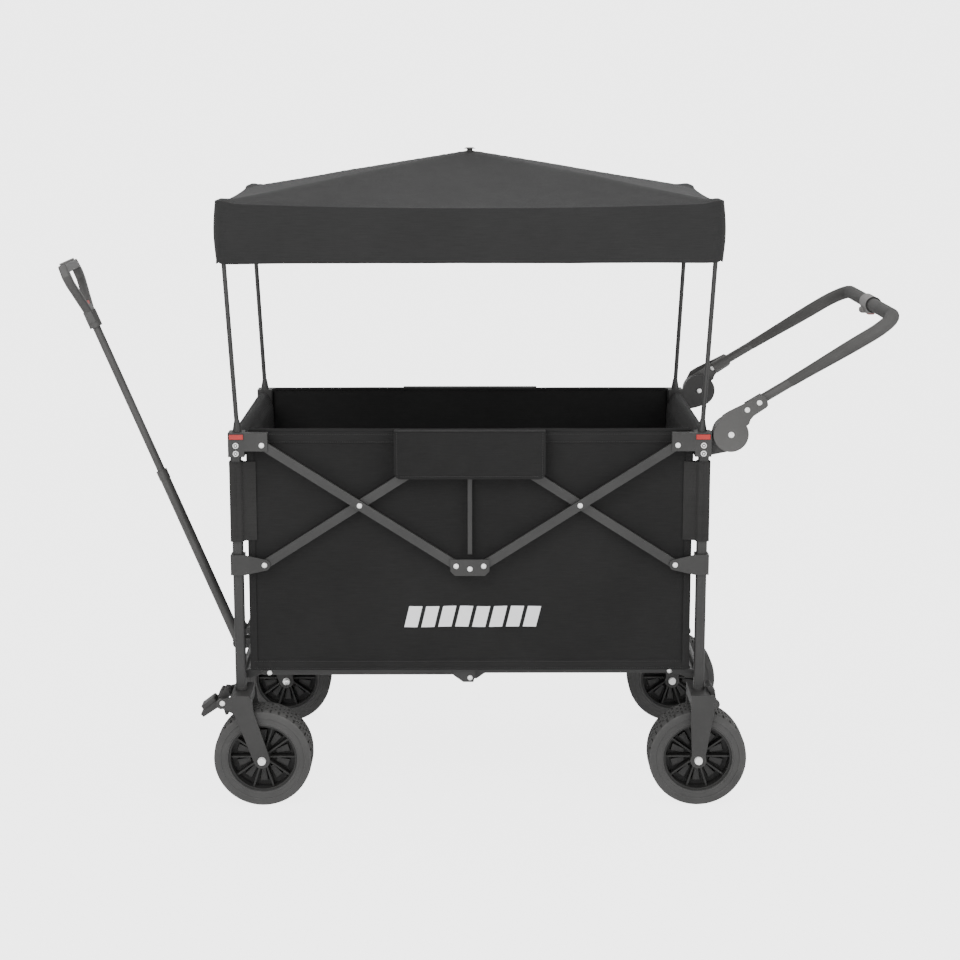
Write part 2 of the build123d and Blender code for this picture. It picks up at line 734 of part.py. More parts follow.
with BuildPart() as canopy_roof:
    for inset, drop, mode in ((0, 0, Mode.ADD), (canopy_cloth, canopy_cloth * 1.04, Mode.SUBTRACT)):
        with BuildSketch(Plane.XY.offset(eave_z - drop)):
            Rectangle(2 * (canopy_x - inset), 2 * (canopy_y - inset))
        with BuildSketch(Plane.XY.offset(peak_z - drop)):
            Rectangle(2.0, 2.0 * canopy_y / canopy_x)
        loft(mode=mode)
        with BuildSketch(Plane.XY.offset(valance_low - inset)):
            Rectangle(2 * (canopy_x - inset), 2 * (canopy_y - inset))
        extrude(amount=eave_z - drop - valance_low + inset, mode=mode)
    with Locations((0, 0, peak_z - 20)):
        Cylinder(5.4, 40, mode=Mode.SUBTRACT)
save(canopy_roof, "canopy_roof")

roof_under = peak_z - canopy_cloth * 1.04
hub_top = roof_under - peak_hub_r * (peak_z - eave_z) / canopy_y - 0.4
with BuildPart() as canopy_hub:
    with Locations((0, 0, hub_top - 14)):
        Cylinder(peak_hub_r, 14, align=(Align.CENTER, Align.CENTER, Align.MIN))
    with Locations((0, 0, hub_top)):
        Cylinder(5, peak_z + 4 - hub_top, align=(Align.CENTER, Align.CENTER, Align.MIN))
    with Locations((0, 0, peak_z + 0.4)):
        Cone(9, 5, 6, align=(Align.CENTER, Align.CENTER, Align.MIN))
save(canopy_hub, "canopy_hub")

corner = Vector(-pole_top_x, -pole_top_y, 0)
span = corner.length
ridge_fall = (peak_z - eave_z) / hypot(canopy_x - canopy_cloth, canopy_y - canopy_cloth)
rib_drop = rib_r / 0.95 + 0.5
rib_in = Vector(corner.X, corner.Y, 0) * ((peak_hub_r + 0.9) / span)
rib_z_in = roof_under - ridge_fall * (peak_hub_r + 0.9) - rib_drop
rib_z_out = roof_under - ridge_fall * span - rib_drop
with BuildPart() as canopy_ribs:
    run = Vector(corner.X - rib_in.X, corner.Y - rib_in.Y, rib_z_out - rib_z_in)
    with BuildSketch(Plane(origin=(rib_in.X, rib_in.Y, rib_z_in), z_dir=run)):
        Circle(rib_r)
    extrude(amount=run.length)
    with Locations((corner.X, corner.Y, elbow_top + 0.3)):
        Cylinder(elbow_r - 1, rib_z_out - elbow_top - 0.3,
                 align=(Align.CENTER, Align.CENTER, Align.MIN))
    mirror(about=Plane.XZ)
    mirror(about=Plane.YZ)
save(canopy_ribs, "canopy_ribs")

# ---------------------------------------------------------------- push handle
along = Vector(cos(radians(push_angle)), 0, sin(radians(push_angle)))
across = Vector(-sin(radians(push_angle)), 0, cos(radians(push_angle)))


def push_point(s, y):
    p = Vector(disc_x, 0, disc_z) + along * s + across * push_offset
    return Vector(p.X, y, p.Z)


arm_in = disc_mid_y + 0.5
arm_out = arm_in + 10.0
with BuildPart() as push_arms:
    with BuildSketch(side(arm_in)):
        with Locations((disc_x, disc_z)):
            Circle(disc_r)
        low = push_point(0, 0) - across * 11.5
        high = push_point(0, 0) + across * 7.3
        tip = push_point(push_start, 0)
        with BuildLine():
            Polyline(
                (high.X, high.Z), (tip.X + across.X * 9, tip.Z + across.Z * 9),
                (tip.X - across.X * 11, tip.Z - across.Z * 11), (low.X, low.Z), close=True,
            )
        make_face()
    extrude(amount=arm_out - arm_in)
    with BuildSketch(side(arm_out)):
        with Locations((disc_x, disc_z)):
            Circle(disc_r)
    extrude(amount=outer_plate_out - arm_out)
    with BuildSketch(Plane(origin=push_point(push_start - 32, -push_y), z_dir=along)):
        Circle(10.5)
    extrude(amount=32)
    with BuildSketch(Plane(origin=push_point(push_start - 1, -push_y), z_dir=along)):
        Circle(push_tube_r - push_wall - 0.1)
    extrude(amount=26)
    pin(disc_x, disc_z, outer_plate_out, outer_plate_out + 1.6, 5)
    pin(disc_x, disc_z, disc_in_y - 1.6, arm_in, pin_r + 1)
    for s in (34, 58):
        spot = push_point(s, 0)
        pin(spot.X, spot.Z, arm_out, arm_out + 1.4, pin_head_r)
    mirror(about=Plane.XZ)
save(push_arms, "push_arms")

with BuildPart() as push_tube:
    with BuildLine():
        push_path = FilletPolyline(
            push_point(push_start, -push_y), push_point(push_reach, -push_y),
            push_point(push_reach, push_y), push_point(push_start, push_y),
            radius=push_corner_r,
        )
    with BuildSketch(Plane(origin=push_point(push_start, -push_y), z_dir=along)):
        Circle(push_tube_r)
        Circle(push_tube_r - push_wall, mode=Mode.SUBTRACT)
    sweep()
save(push_tube, "push_tube")

with BuildPart() as push_foam:
    with BuildLine():
        FilletPolyline(
            push_point(foam_start, -push_y), push_point(push_reach, -push_y),
            push_point(push_reach, -housing_half), radius=push_corner_r,
        )
    with BuildSketch(Plane(origin=push_point(foam_start, -push_y), z_dir=along)):
        Circle(foam_r)
        Circle(push_tube_r, mode=Mode.SUBTRACT)
    sweep()
    mirror(about=Plane.XZ)
save(push_foam, "push_foam")

grip_line = push_point(push_reach, 0)
button_width = 12.0
with BuildPart() as release_housing:
    with BuildSketch(side(-housing_half)):
        with Locations((grip_line.X, grip_line.Z)):
            Circle(housing_r)
            with Locations((0, -housing_r + 2)):
                Rectangle(20, 8)
            Circle(push_tube_r, mode=Mode.SUBTRACT)
    extrude(amount=2 * housing_half)
    with Locations((grip_line.X, 0, grip_line.Z - housing_r)):
        Box(button_width + 0.6, 2 * 12.3, 11, mode=Mode.SUBTRACT)
    with BuildSketch(side(-housing_half)):
        with Locations((grip_line.X, grip_line.Z)):
            Circle(push_tube_r + 1.2)
            Circle(push_tube_r, mode=Mode.SUBTRACT)
    extrude(amount=2 * housing_half)
save(release_housing, "release_housing")

with BuildPart() as release_button:
    with Locations((grip_line.X, 0, grip_line.Z - housing_r - 2.0)):
        Box(button_width, 24, 14 - 6.0)
save(release_button, "release_button")

# ---------------------------------------------------------------- pull handle
rise = Vector(-sin(radians(pull_lean)), 0, cos(radians(pull_lean)))
face = Vector(cos(radians(pull_lean)), 0, sin(radians(pull_lean)))
pull_origin = Vector(pull_x, 0, pull_z)


def pull_plane(s):
    return Plane(origin=pull_origin + rise * s, x_dir=(0, 1, 0), z_dir=rise)


with BuildPart() as pull_lower_tube:
    with BuildSketch(side(-pull_eye)):
        with Locations((pull_x, pull_z)):
            Circle(10)
    extrude(amount=2 * pull_eye)
    with BuildSketch(pull_plane(4)):
        Circle(pull_tube_r)
    extrude(amount=pull_lower_length - 4)
    with BuildSketch(pull_plane(18)):
        Circle(pull_tube_r - pull_wall)
    extrude(amount=pull_lower_length - 18, mode=Mode.SUBTRACT)
    with BuildSketch(pull_plane(pull_lower_length - 18)):
        Circle(pull_tube_r + 0.9)
        Circle(pull_inner_r + 0.15, mode=Mode.SUBTRACT)
    extrude(amount=18)
    bore(pull_x, pull_z, -pull_eye - 1, pull_eye + 1, pin_r + 1 + 0.1)
save(pull_lower_tube, "pull_lower_tube")

with BuildPart() as pull_upper_tube:
    with BuildSketch(pull_plane(pull_inner_start)):
        Circle(pull_inner_r)
        Circle(pull_inner_r - 1.3, mode=Mode.SUBTRACT)
    extrude(amount=grip_start + 20 - pull_inner_start)
    with BuildSketch(pull_plane(pull_inner_start)):
        Circle(pull_tube_r - pull_wall - 0.15)
        Circle(pull_inner_r - 1.3, mode=Mode.SUBTRACT)
    extrude(amount=10)
save(pull_upper_tube, "pull_upper_tube")

button_base = grip_start + 38
with BuildPart() as pull_grip:
    with BuildSketch(Plane(origin=pull_origin - face * (grip_thick / 2), x_dir=(0, 1, 0),
                           z_dir=face)):
        with BuildLine():
            Polyline(
                (-14, grip_start + 10), (14, grip_start + 10), (15, grip_start + 30),
                (grip_half - 5, grip_start + 88), (grip_half, grip_start + 105),
                (grip_half - 8, grip_end), (-grip_half + 8, grip_end),
                (-grip_half, grip_start + 105), (-grip_half + 5, grip_start + 88),
                (-15, grip_start + 30), close=True,
            )
        make_face()
        with BuildLine():
            Polyline(
                (-12, button_base + 6), (12, button_base + 6),
                (grip_half - 17, grip_start + 92), (grip_half - 17, grip_end - 17),
                (-grip_half + 17, grip_end - 17), (-grip_half + 17, grip_start + 92),
                close=True,
            )
        make_face(mode=Mode.SUBTRACT)
    extrude(amount=grip_thick)
    fillet(pull_grip.edges().filter_by(lambda e: abs(e.center().dot(face) - pull_origin.dot(face))
                                       > grip_thick / 2 - 0.1), 3.5)
    with BuildSketch(pull_plane(grip_start)):
        Circle(grip_neck_r)
    extrude(amount=32)
    with BuildSketch(pull_plane(grip_start - 1)):
        Circle(pull_inner_r)
    extrude(amount=21, mode=Mode.SUBTRACT)
    with BuildSketch(pull_plane(button_base - 6)):
        Rectangle(16.6, 12.6)
    extrude(amount=20, mode=Mode.SUBTRACT)
save(pull_grip, "pull_grip")

with BuildPart() as pull_button:
    with BuildSketch(pull_plane(button_base - 1)):
        Rectangle(16, 12)
    extrude(amount=13)
save(pull_button, "pull_button")

with BuildPart() as pull_pad:
    with BuildSketch(pull_plane(grip_end)):
        RectangleRounded(2 * grip_half - 34, grip_thick - 5, 4)
    extrude(amount=3.5)
save(pull_pad, "pull_pad")
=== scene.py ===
import json
import math
import bpy
import bmesh
from mathutils import Matrix, Vector, noise


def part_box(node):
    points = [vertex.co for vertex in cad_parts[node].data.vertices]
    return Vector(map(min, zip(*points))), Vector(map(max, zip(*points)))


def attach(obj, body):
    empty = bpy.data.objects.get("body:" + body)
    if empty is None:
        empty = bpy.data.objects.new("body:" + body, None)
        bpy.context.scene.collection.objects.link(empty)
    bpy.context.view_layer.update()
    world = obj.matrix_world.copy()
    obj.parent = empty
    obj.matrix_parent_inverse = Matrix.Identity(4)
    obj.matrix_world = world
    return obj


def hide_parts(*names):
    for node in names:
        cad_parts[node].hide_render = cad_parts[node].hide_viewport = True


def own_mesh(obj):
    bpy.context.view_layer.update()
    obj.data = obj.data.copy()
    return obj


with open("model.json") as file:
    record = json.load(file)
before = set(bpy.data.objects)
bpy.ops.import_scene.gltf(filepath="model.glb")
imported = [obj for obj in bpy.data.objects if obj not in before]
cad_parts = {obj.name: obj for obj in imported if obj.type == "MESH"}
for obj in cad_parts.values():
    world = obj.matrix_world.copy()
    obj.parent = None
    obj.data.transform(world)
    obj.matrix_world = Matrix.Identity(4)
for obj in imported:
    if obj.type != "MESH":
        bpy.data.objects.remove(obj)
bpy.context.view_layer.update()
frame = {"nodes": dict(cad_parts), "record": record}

cadNodes = frame["nodes"]
bodyOf = {node: body for body, members in frame["record"]["behaviour"]["bodies"].items() for node in members}
print("wagon frame loaded:", len(cadNodes), "parts")

# selection and mesh helpers


def clearSelection():
    if bpy.context.object and bpy.context.object.mode != "OBJECT":
        bpy.ops.object.mode_set(mode="OBJECT")
    bpy.ops.object.select_all(action="DESELECT")


def takeUp(piece):
    clearSelection()
    piece.select_set(True)
    bpy.context.view_layer.objects.active = piece
    return piece


def settle(piece):
    takeUp(piece)
    bpy.ops.object.transform_apply(location=True, rotation=True, scale=True)
    return piece


def named(name):
    piece = bpy.context.object
    piece.name = piece.data.name = name
    return piece


def openMesh(piece, kind="FACE"):
    takeUp(piece)
    bpy.ops.object.mode_set(mode="EDIT")
    bpy.ops.mesh.select_mode(type=kind)
    bpy.ops.mesh.select_all(action="DESELECT")


def closeMesh():
    bpy.ops.object.mode_set(mode="OBJECT")


def pickFaces(piece, wanted):
    mesh = bmesh.from_edit_mesh(piece.data)
    for face in mesh.faces:
        face.select_set(bool(wanted(face)))
    bmesh.update_edit_mesh(piece.data)


def pickEdges(piece, wanted):
    mesh = bmesh.from_edit_mesh(piece.data)
    for edge in mesh.edges:
        edge.select_set(bool(wanted(edge)))
    bmesh.update_edit_mesh(piece.data)


def movePicked(piece, shift):
    mesh = bmesh.from_edit_mesh(piece.data)
    for vert in mesh.verts:
        if vert.select:
            vert.co = shift(vert.co.copy())
    bmesh.update_edit_mesh(piece.data)


def reshape(piece, shift):
    for vert in piece.data.vertices:
        vert.co = shift(vert.co.copy())
    piece.data.update()
    return piece


def addModifier(piece, kind, **values):
    takeUp(piece)
    modifier = piece.modifiers.new(kind.lower(), kind)
    for key, value in values.items():
        setattr(modifier, key, value)
    bpy.ops.object.modifier_apply(modifier=modifier.name)
    return piece


def tidyMesh(piece):
    openMesh(piece)
    bpy.ops.mesh.select_all(action="SELECT")
    bpy.ops.mesh.remove_doubles(threshold=0.00002)
    bpy.ops.mesh.normals_make_consistent(inside=False)
    closeMesh()
    return piece


def smooth(piece, angle=38):
    takeUp(piece)
    bpy.ops.object.shade_smooth_by_angle(angle=math.radians(angle))
    return piece


def roundEdges(piece, width, segments=2, angle=32):
    addModifier(piece, "BEVEL", width=width, segments=segments, limit_method="ANGLE",
                angle_limit=math.radians(angle), miter_outer="MITER_ARC", use_clamp_overlap=True)
    smooth(piece)
    addModifier(piece, "WEIGHTED_NORMAL", keep_sharp=True, weight=80)
    return piece


def joinPieces(name, pieces):
    clearSelection()
    for piece in pieces:
        piece.select_set(True)
    bpy.context.view_layer.objects.active = pieces[0]
    if len(pieces) > 1:
        bpy.ops.object.join()
    return named(name)


def duplicateOf(piece, name, matrix=None):
    twin = bpy.data.objects.new(name, piece.data.copy())
    twin.data.name = name
    bpy.context.scene.collection.objects.link(twin)
    if matrix is not None:
        twin.data.transform(matrix)
        if matrix.determinant() < 0:
            twin.data.flip_normals()
    return twin


def addBox(name, low, high):
    low, high = Vector(low), Vector(high)
    clearSelection()
    bpy.ops.mesh.primitive_cube_add(size=1, location=(low + high) / 2)
    piece = named(name)
    piece.scale = high - low
    return settle(piece)


def addRod(name, start, end, radius, vertices=32, tip=None):
    start, end = Vector(start), Vector(end)
    clearSelection()
    turn = (end - start).to_track_quat("Z", "Y").to_euler()
    bpy.ops.mesh.primitive_cone_add(vertices=vertices, radius1=radius, radius2=radius if tip is None else tip,
                                    depth=(end - start).length, location=(start + end) / 2, rotation=turn)
    return settle(named(name))


def fromCad(node, name, rounding=0.0, segments=2):
    # Own copy of a frame part, merged and with its edges rounded.
    piece = duplicateOf(cadNodes[node], name)
    piece.data.materials.clear()
    openMesh(piece)
    bpy.ops.mesh.select_all(action="SELECT")
    bpy.ops.mesh.remove_doubles(threshold=0.00002)
    bpy.ops.mesh.dissolve_limited(angle_limit=math.radians(0.8))
    bpy.ops.mesh.normals_make_consistent(inside=False)
    closeMesh()
    if rounding:
        roundEdges(piece, rounding, segments)
    else:
        smooth(piece, 30)
    return piece


def place(piece, body, slot, material, *replaced):
    piece.data.materials.clear()
    piece.data.materials.append(material)
    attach(piece, body)
    if replaced:
        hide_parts(*replaced)
    return piece


# camera, floor and light

cameraSet = {"place": (0.00459, -3.67714, 1.26690), "pitch": 0.1963, "yaw": 0.0038, "lens": 75.70}
bpy.ops.object.camera_add(location=cameraSet["place"],
                          rotation=(math.pi / 2 - cameraSet["pitch"], 0, -cameraSet["yaw"]))
camera = bpy.context.object
camera.data.sensor_width = 36
camera.data.lens = cameraSet["lens"]
camera.data.clip_end = 60
bpy.context.scene.camera = camera

studio = {"floorWidth": 14.0, "front": -8.0, "back": 4.5, "wall": 6.0, "curve": 1.6,
          "floorColour": (0.93, 0.93, 0.93), "worldColour": (1.0, 1.0, 1.0), "worldStrength": 0.80,
          "backdropGlow": 5.6, "glowShare": 0.62}
clearSelection()
bpy.ops.mesh.primitive_plane_add(size=1, location=(0, (studio["front"] + studio["back"]) / 2, 0))
floor = named("studioFloor")
floor.scale = (studio["floorWidth"], studio["back"] - studio["front"], 1)
settle(floor)
openMesh(floor, "EDGE")
pickEdges(floor, lambda e: all(v.co.y > studio["back"] - 0.01 for v in e.verts))
bpy.ops.mesh.extrude_region_move(TRANSFORM_OT_translate={"value": (0, 0, studio["wall"])})
pickEdges(floor, lambda e: all(v.co.y > studio["back"] - 0.01 and v.co.z < 0.01 for v in e.verts))
bpy.ops.mesh.bevel(offset=studio["curve"], segments=16)
closeMesh()
smooth(floor, 60)

world = bpy.data.worlds.new("studioWorld")
bpy.context.scene.world = world
world.use_nodes = True
worldTree = world.node_tree
dim = worldTree.nodes["Background"]
dim.inputs["Color"].default_value = (*studio["worldColour"], 1)
dim.inputs["Strength"].default_value = studio["worldStrength"]
bright = worldTree.nodes.new("ShaderNodeBackground")
bright.inputs["Color"].default_value = (*studio["worldColour"], 1)
bright.inputs["Strength"].default_value = studio["backdropGlow"] * studio["glowShare"]
seen, shared = worldTree.nodes.new("ShaderNodeLightPath"), worldTree.nodes.new("ShaderNodeMixShader")
worldTree.links.new(seen.outputs["Is Camera Ray"], shared.inputs[0])
worldTree.links.new(dim.outputs[0], shared.inputs[1])
worldTree.links.new(bright.outputs[0], shared.inputs[2])
worldTree.links.new(shared.outputs[0], worldTree.nodes["World Output"].inputs["Surface"])

lamps = {
    "keyLight": {"place": (-2.2, -3.2, 3.4), "aim": (0, 0, 0.6), "size": 2.6, "power": 105},
    "fillLight": {"place": (3.0, -2.6, 2.2), "aim": (0.1, 0, 0.5), "size": 2.8, "power": 66},
    "topLight": {"place": (0.2, 0.8, 3.8), "aim": (0, 0, 0.8), "size": 3.2, "power": 46},
    "lowLight": {"place": (-0.4, -3.4, 0.35), "aim": (0, 0, 0.3), "size": 2.4, "power": 46},
}
for lampName, lamp in lamps.items():
    turn = (Vector(lamp["aim"]) - Vector(lamp["place"])).to_track_quat("-Z", "Y").to_euler()
    bpy.ops.object.light_add(type="AREA", location=lamp["place"], rotation=turn)
    light = bpy.context.object
    light.name = lampName
    light.data.energy = lamp["power"]
    light.data.size = lamp["size"]
print("studio ready")

# shader groups


def addNode(tree, kind, **values):
    node = tree.nodes.new(kind)
    for key, value in values.items():
        setattr(node, key, value)
    return node


def feed(tree, socket, value):
    if isinstance(value, bpy.types.NodeSocket):
        tree.links.new(value, socket)
    else:
        socket.default_value = value


def maths(tree, operation, *values):
    node = addNode(tree, "ShaderNodeMath", operation=operation)
    for socket, value in zip(node.inputs, values):
        feed(tree, socket, value)
    return node.outputs[0]


def blendColours(tree, factor, first, second, kind="MIX"):
    node = addNode(tree, "ShaderNodeMix", data_type="RGBA", blend_type=kind)
    feed(tree, node.inputs[0], factor)
    feed(tree, node.inputs[6], first)
    feed(tree, node.inputs[7], second)
    return node.outputs[2]


def spread(tree, value, low, high, fromLow=0.0, fromHigh=1.0):
    node = addNode(tree, "ShaderNodeMapRange")
    for socket, amount in zip(node.inputs, (value, fromLow, fromHigh, low, high)):
        feed(tree, socket, amount)
    return node.outputs[0]


def noiseAt(tree, vector, scale, detail=3.0, rough=0.5):
    node = addNode(tree, "ShaderNodeTexNoise")
    feed(tree, node.inputs["Vector"], vector)
    feed(tree, node.inputs["Scale"], scale)
    feed(tree, node.inputs["Detail"], detail)
    feed(tree, node.inputs["Roughness"], rough)
    return node.outputs[0]


def newGroup(name, inputs, outputs):
    group = bpy.data.node_groups.new(name, "ShaderNodeTree")
    for label, kind, value in inputs:
        socket = group.interface.new_socket(label, in_out="INPUT", socket_type="NodeSocket" + kind)
        if value is not None:
            socket.default_value = value
    for label, kind in outputs:
        group.interface.new_socket(label, in_out="OUTPUT", socket_type="NodeSocket" + kind)
    return group, addNode(group, "NodeGroupInput").outputs, addNode(group, "NodeGroupOutput").inputs


def wovenGroup():
    group, given, out = newGroup("wovenYarn", [("Vector", "Vector", None), ("Pitch", "Float", 0.0011),
                                               ("Slub", "Float", 0.5)],
                                 [("Height", "Float"), ("Tone", "Float")])
    divide = addNode(group, "ShaderNodeVectorMath", operation="SCALE")
    group.links.new(given["Vector"], divide.inputs[0])
    feed(group, divide.inputs["Scale"], maths(group, "DIVIDE", math.pi, given["Pitch"]))
    parts = addNode(group, "ShaderNodeSeparateXYZ")
    group.links.new(divide.outputs[0], parts.inputs[0])
    across, along = maths(group, "SINE", parts.outputs[0]), maths(group, "SINE", parts.outputs[1])
    over = maths(group, "GREATER_THAN", maths(group, "MULTIPLY", across, along), 0.0)
    warp = maths(group, "ABSOLUTE", across)
    weft = maths(group, "ABSOLUTE", along)
    lift = maths(group, "ADD", maths(group, "MULTIPLY", warp, over),
                maths(group, "MULTIPLY", weft, maths(group, "SUBTRACT", 1.0, over)))
    group.links.new(lift, out["Height"])
    streak = addNode(group, "ShaderNodeMapping")
    group.links.new(given["Vector"], streak.inputs["Vector"])
    streak.inputs["Scale"].default_value = (1.0, 22.0, 1.0)
    slub = noiseAt(group, streak.outputs[0], 30.0, 2.0)
    tone = maths(group, "ADD", maths(group, "MULTIPLY", lift, 0.45),
                maths(group, "MULTIPLY", slub, given["Slub"]))
    group.links.new(tone, out["Tone"])
    return group


def grainGroup():
    group, given, out = newGroup("mouldGrain", [("Vector", "Vector", None), ("Size", "Float", 0.0009)],
                                 [("Height", "Float"), ("Tone", "Float")])
    scale = maths(group, "DIVIDE", 1.0, given["Size"])
    fine = noiseAt(group, given["Vector"], scale, 2.0, 0.6)
    cells = addNode(group, "ShaderNodeTexVoronoi", feature="F1")
    group.links.new(given["Vector"], cells.inputs["Vector"])
    feed(group, cells.inputs["Scale"], maths(group, "MULTIPLY", scale, 0.6))
    height = maths(group, "ADD", maths(group, "MULTIPLY", fine, 0.6),
                  maths(group, "MULTIPLY", cells.outputs["Distance"], 0.4))
    group.links.new(height, out["Height"])
    group.links.new(noiseAt(group, given["Vector"], 9.0, 4.0, 0.55), out["Tone"])
    return group


# Edge mask from the Bevel node: a little edge wear, and mostly a painted highlight that lightens the rounded edges.
def edgeWearHighlightGroup():
    group, given, out = newGroup("edgeWearHighlight", [("Vector", "Vector", None), ("Radius", "Float", 0.0014),
                                             ("Amount", "Float", 0.5)], [("Mask", "Float")])
    bevel = addNode(group, "ShaderNodeBevel", samples=4)
    group.links.new(given["Radius"], bevel.inputs["Radius"])
    flat = addNode(group, "ShaderNodeNewGeometry")
    dot = addNode(group, "ShaderNodeVectorMath", operation="DOT_PRODUCT")
    group.links.new(bevel.outputs[0], dot.inputs[0])
    group.links.new(flat.outputs["Normal"], dot.inputs[1])
    edge = spread(group, dot.outputs["Value"], 1.0, 0.0, 0.80, 0.985)
    patchy = spread(group, noiseAt(group, given["Vector"], 70.0, 4.0, 0.6), 0.0, 1.0, 0.42, 0.66)
    mask = maths(group, "MULTIPLY", maths(group, "MULTIPLY", edge, patchy), given["Amount"])
    group.links.new(mask, out["Mask"])
    return group


def dustGroup():
    group, given, out = newGroup("restingDust", [("Vector", "Vector", None), ("Amount", "Float", 0.3)],
                                 [("Mask", "Float")])
    flat = addNode(group, "ShaderNodeNewGeometry")
    parts = addNode(group, "ShaderNodeSeparateXYZ")
    group.links.new(flat.outputs["Normal"], parts.inputs[0])
    upward = spread(group, parts.outputs[2], 0.15, 1.0, -0.2, 0.9)
    patchy = spread(group, noiseAt(group, given["Vector"], 26.0, 6.0, 0.6), 0.0, 1.0, 0.35, 0.75)
    mask = maths(group, "MULTIPLY", maths(group, "MULTIPLY", upward, patchy), given["Amount"])
    group.links.new(mask, out["Mask"])
    return group


wovenYarn, mouldGrain, edgeWearHighlight, restingDust = wovenGroup(), grainGroup(), edgeWearHighlightGroup(), dustGroup()

# finishes


def useGroup(tree, group, **values):
    node = addNode(tree, "ShaderNodeGroup", node_tree=group)
    for key, value in values.items():
        feed(tree, node.inputs[key], value)
    return node.outputs


def newFinish(name):
    material = bpy.data.materials.new(name)
    material.use_nodes = True
    tree = material.node_tree
    shader = tree.nodes["Principled BSDF"]
    return material, tree, shader


def hardFinish(name, look):
    material, tree, shader = newFinish(name)
    where = addNode(tree, "ShaderNodeTexCoord").outputs["Object"]
    grain = useGroup(tree, mouldGrain, Vector=where, Size=look["grain"])
    colour = blendColours(tree, spread(tree, grain["Tone"], 0.0, 1.0, 0.3, 0.7),
                          (*look["dark"], 1), (*look["light"], 1))
    # painted highlight along the rounded edges, mixed with a little edge wear
    rubHighlight = useGroup(tree, edgeWearHighlight, Vector=where, Radius=look.get("rubHighlightWidth", 0.0014), Amount=look["rubHighlight"])
    colour = blendColours(tree, rubHighlight["Mask"], colour, (*look["rubHighlightColour"], 1))
    dust = useGroup(tree, restingDust, Vector=where, Amount=look["dust"])
    colour = blendColours(tree, dust["Mask"], colour, (0.32, 0.31, 0.29, 1))
    tree.links.new(colour, shader.inputs["Base Color"])
    roughness = maths(tree, "ADD", spread(tree, grain["Tone"], look["rough"][0], look["rough"][1]),
                     maths(tree, "MULTIPLY", dust["Mask"], 0.3))
    tree.links.new(roughness, shader.inputs["Roughness"])
    shader.inputs["Metallic"].default_value = look.get("metal", 0.0)
    shader.inputs["Specular IOR Level"].default_value = look.get("specular", 0.5)
    shader.inputs["Coat Weight"].default_value = look.get("coat", 0.0)
    shader.inputs["Coat Roughness"].default_value = 0.25
    bump = addNode(tree, "ShaderNodeBump")
    bump.inputs["Strength"].default_value = look["bump"]
    bump.inputs["Distance"].default_value = look["depth"]
    tree.links.new(grain["Height"], bump.inputs["Height"])
    tree.links.new(bump.outputs[0], shader.inputs["Normal"])
    return material


def clothFinish(name, look):
    material, tree, shader = newFinish(name)
    laid = addNode(tree, "ShaderNodeUVMap", uv_map="UVMap").outputs[0]
    where = addNode(tree, "ShaderNodeTexCoord").outputs["Object"]
    yarn = useGroup(tree, wovenYarn, Vector=laid, Pitch=look["pitch"], Slub=look["slub"])
    cloudy = noiseAt(tree, where, 5.0, 5.0, 0.6)
    tone = maths(tree, "ADD", maths(tree, "MULTIPLY", yarn["Tone"], 0.7),
                 maths(tree, "MULTIPLY", cloudy, 0.5))
    colour = blendColours(tree, spread(tree, tone, 0.0, 1.0, 0.25, 0.95), (*look["dark"], 1),
                          (*look["light"], 1))
    dust = useGroup(tree, restingDust, Vector=where, Amount=look["dust"])
    colour = blendColours(tree, dust["Mask"], colour, (0.25, 0.24, 0.23, 1))
    tree.links.new(colour, shader.inputs["Base Color"])
    tree.links.new(spread(tree, yarn["Tone"], look["rough"][1], look["rough"][0]), shader.inputs["Roughness"])
    shader.inputs["Sheen Weight"].default_value = look["sheen"]
    shader.inputs["Sheen Roughness"].default_value = 0.45
    shader.inputs["Specular IOR Level"].default_value = look["specular"]
    crumple = maths(tree, "ADD", maths(tree, "MULTIPLY", noiseAt(tree, where, 38.0, 4.0, 0.55),
                                       look["crumple"]),
                   maths(tree, "MULTIPLY", yarn["Height"], 0.00016))
    bump = addNode(tree, "ShaderNodeBump")
    bump.inputs["Strength"].default_value = look["bump"]
    bump.inputs["Distance"].default_value = 1.0
    tree.links.new(crumple, bump.inputs["Height"])
    tree.links.new(bump.outputs[0], shader.inputs["Normal"])
    return material
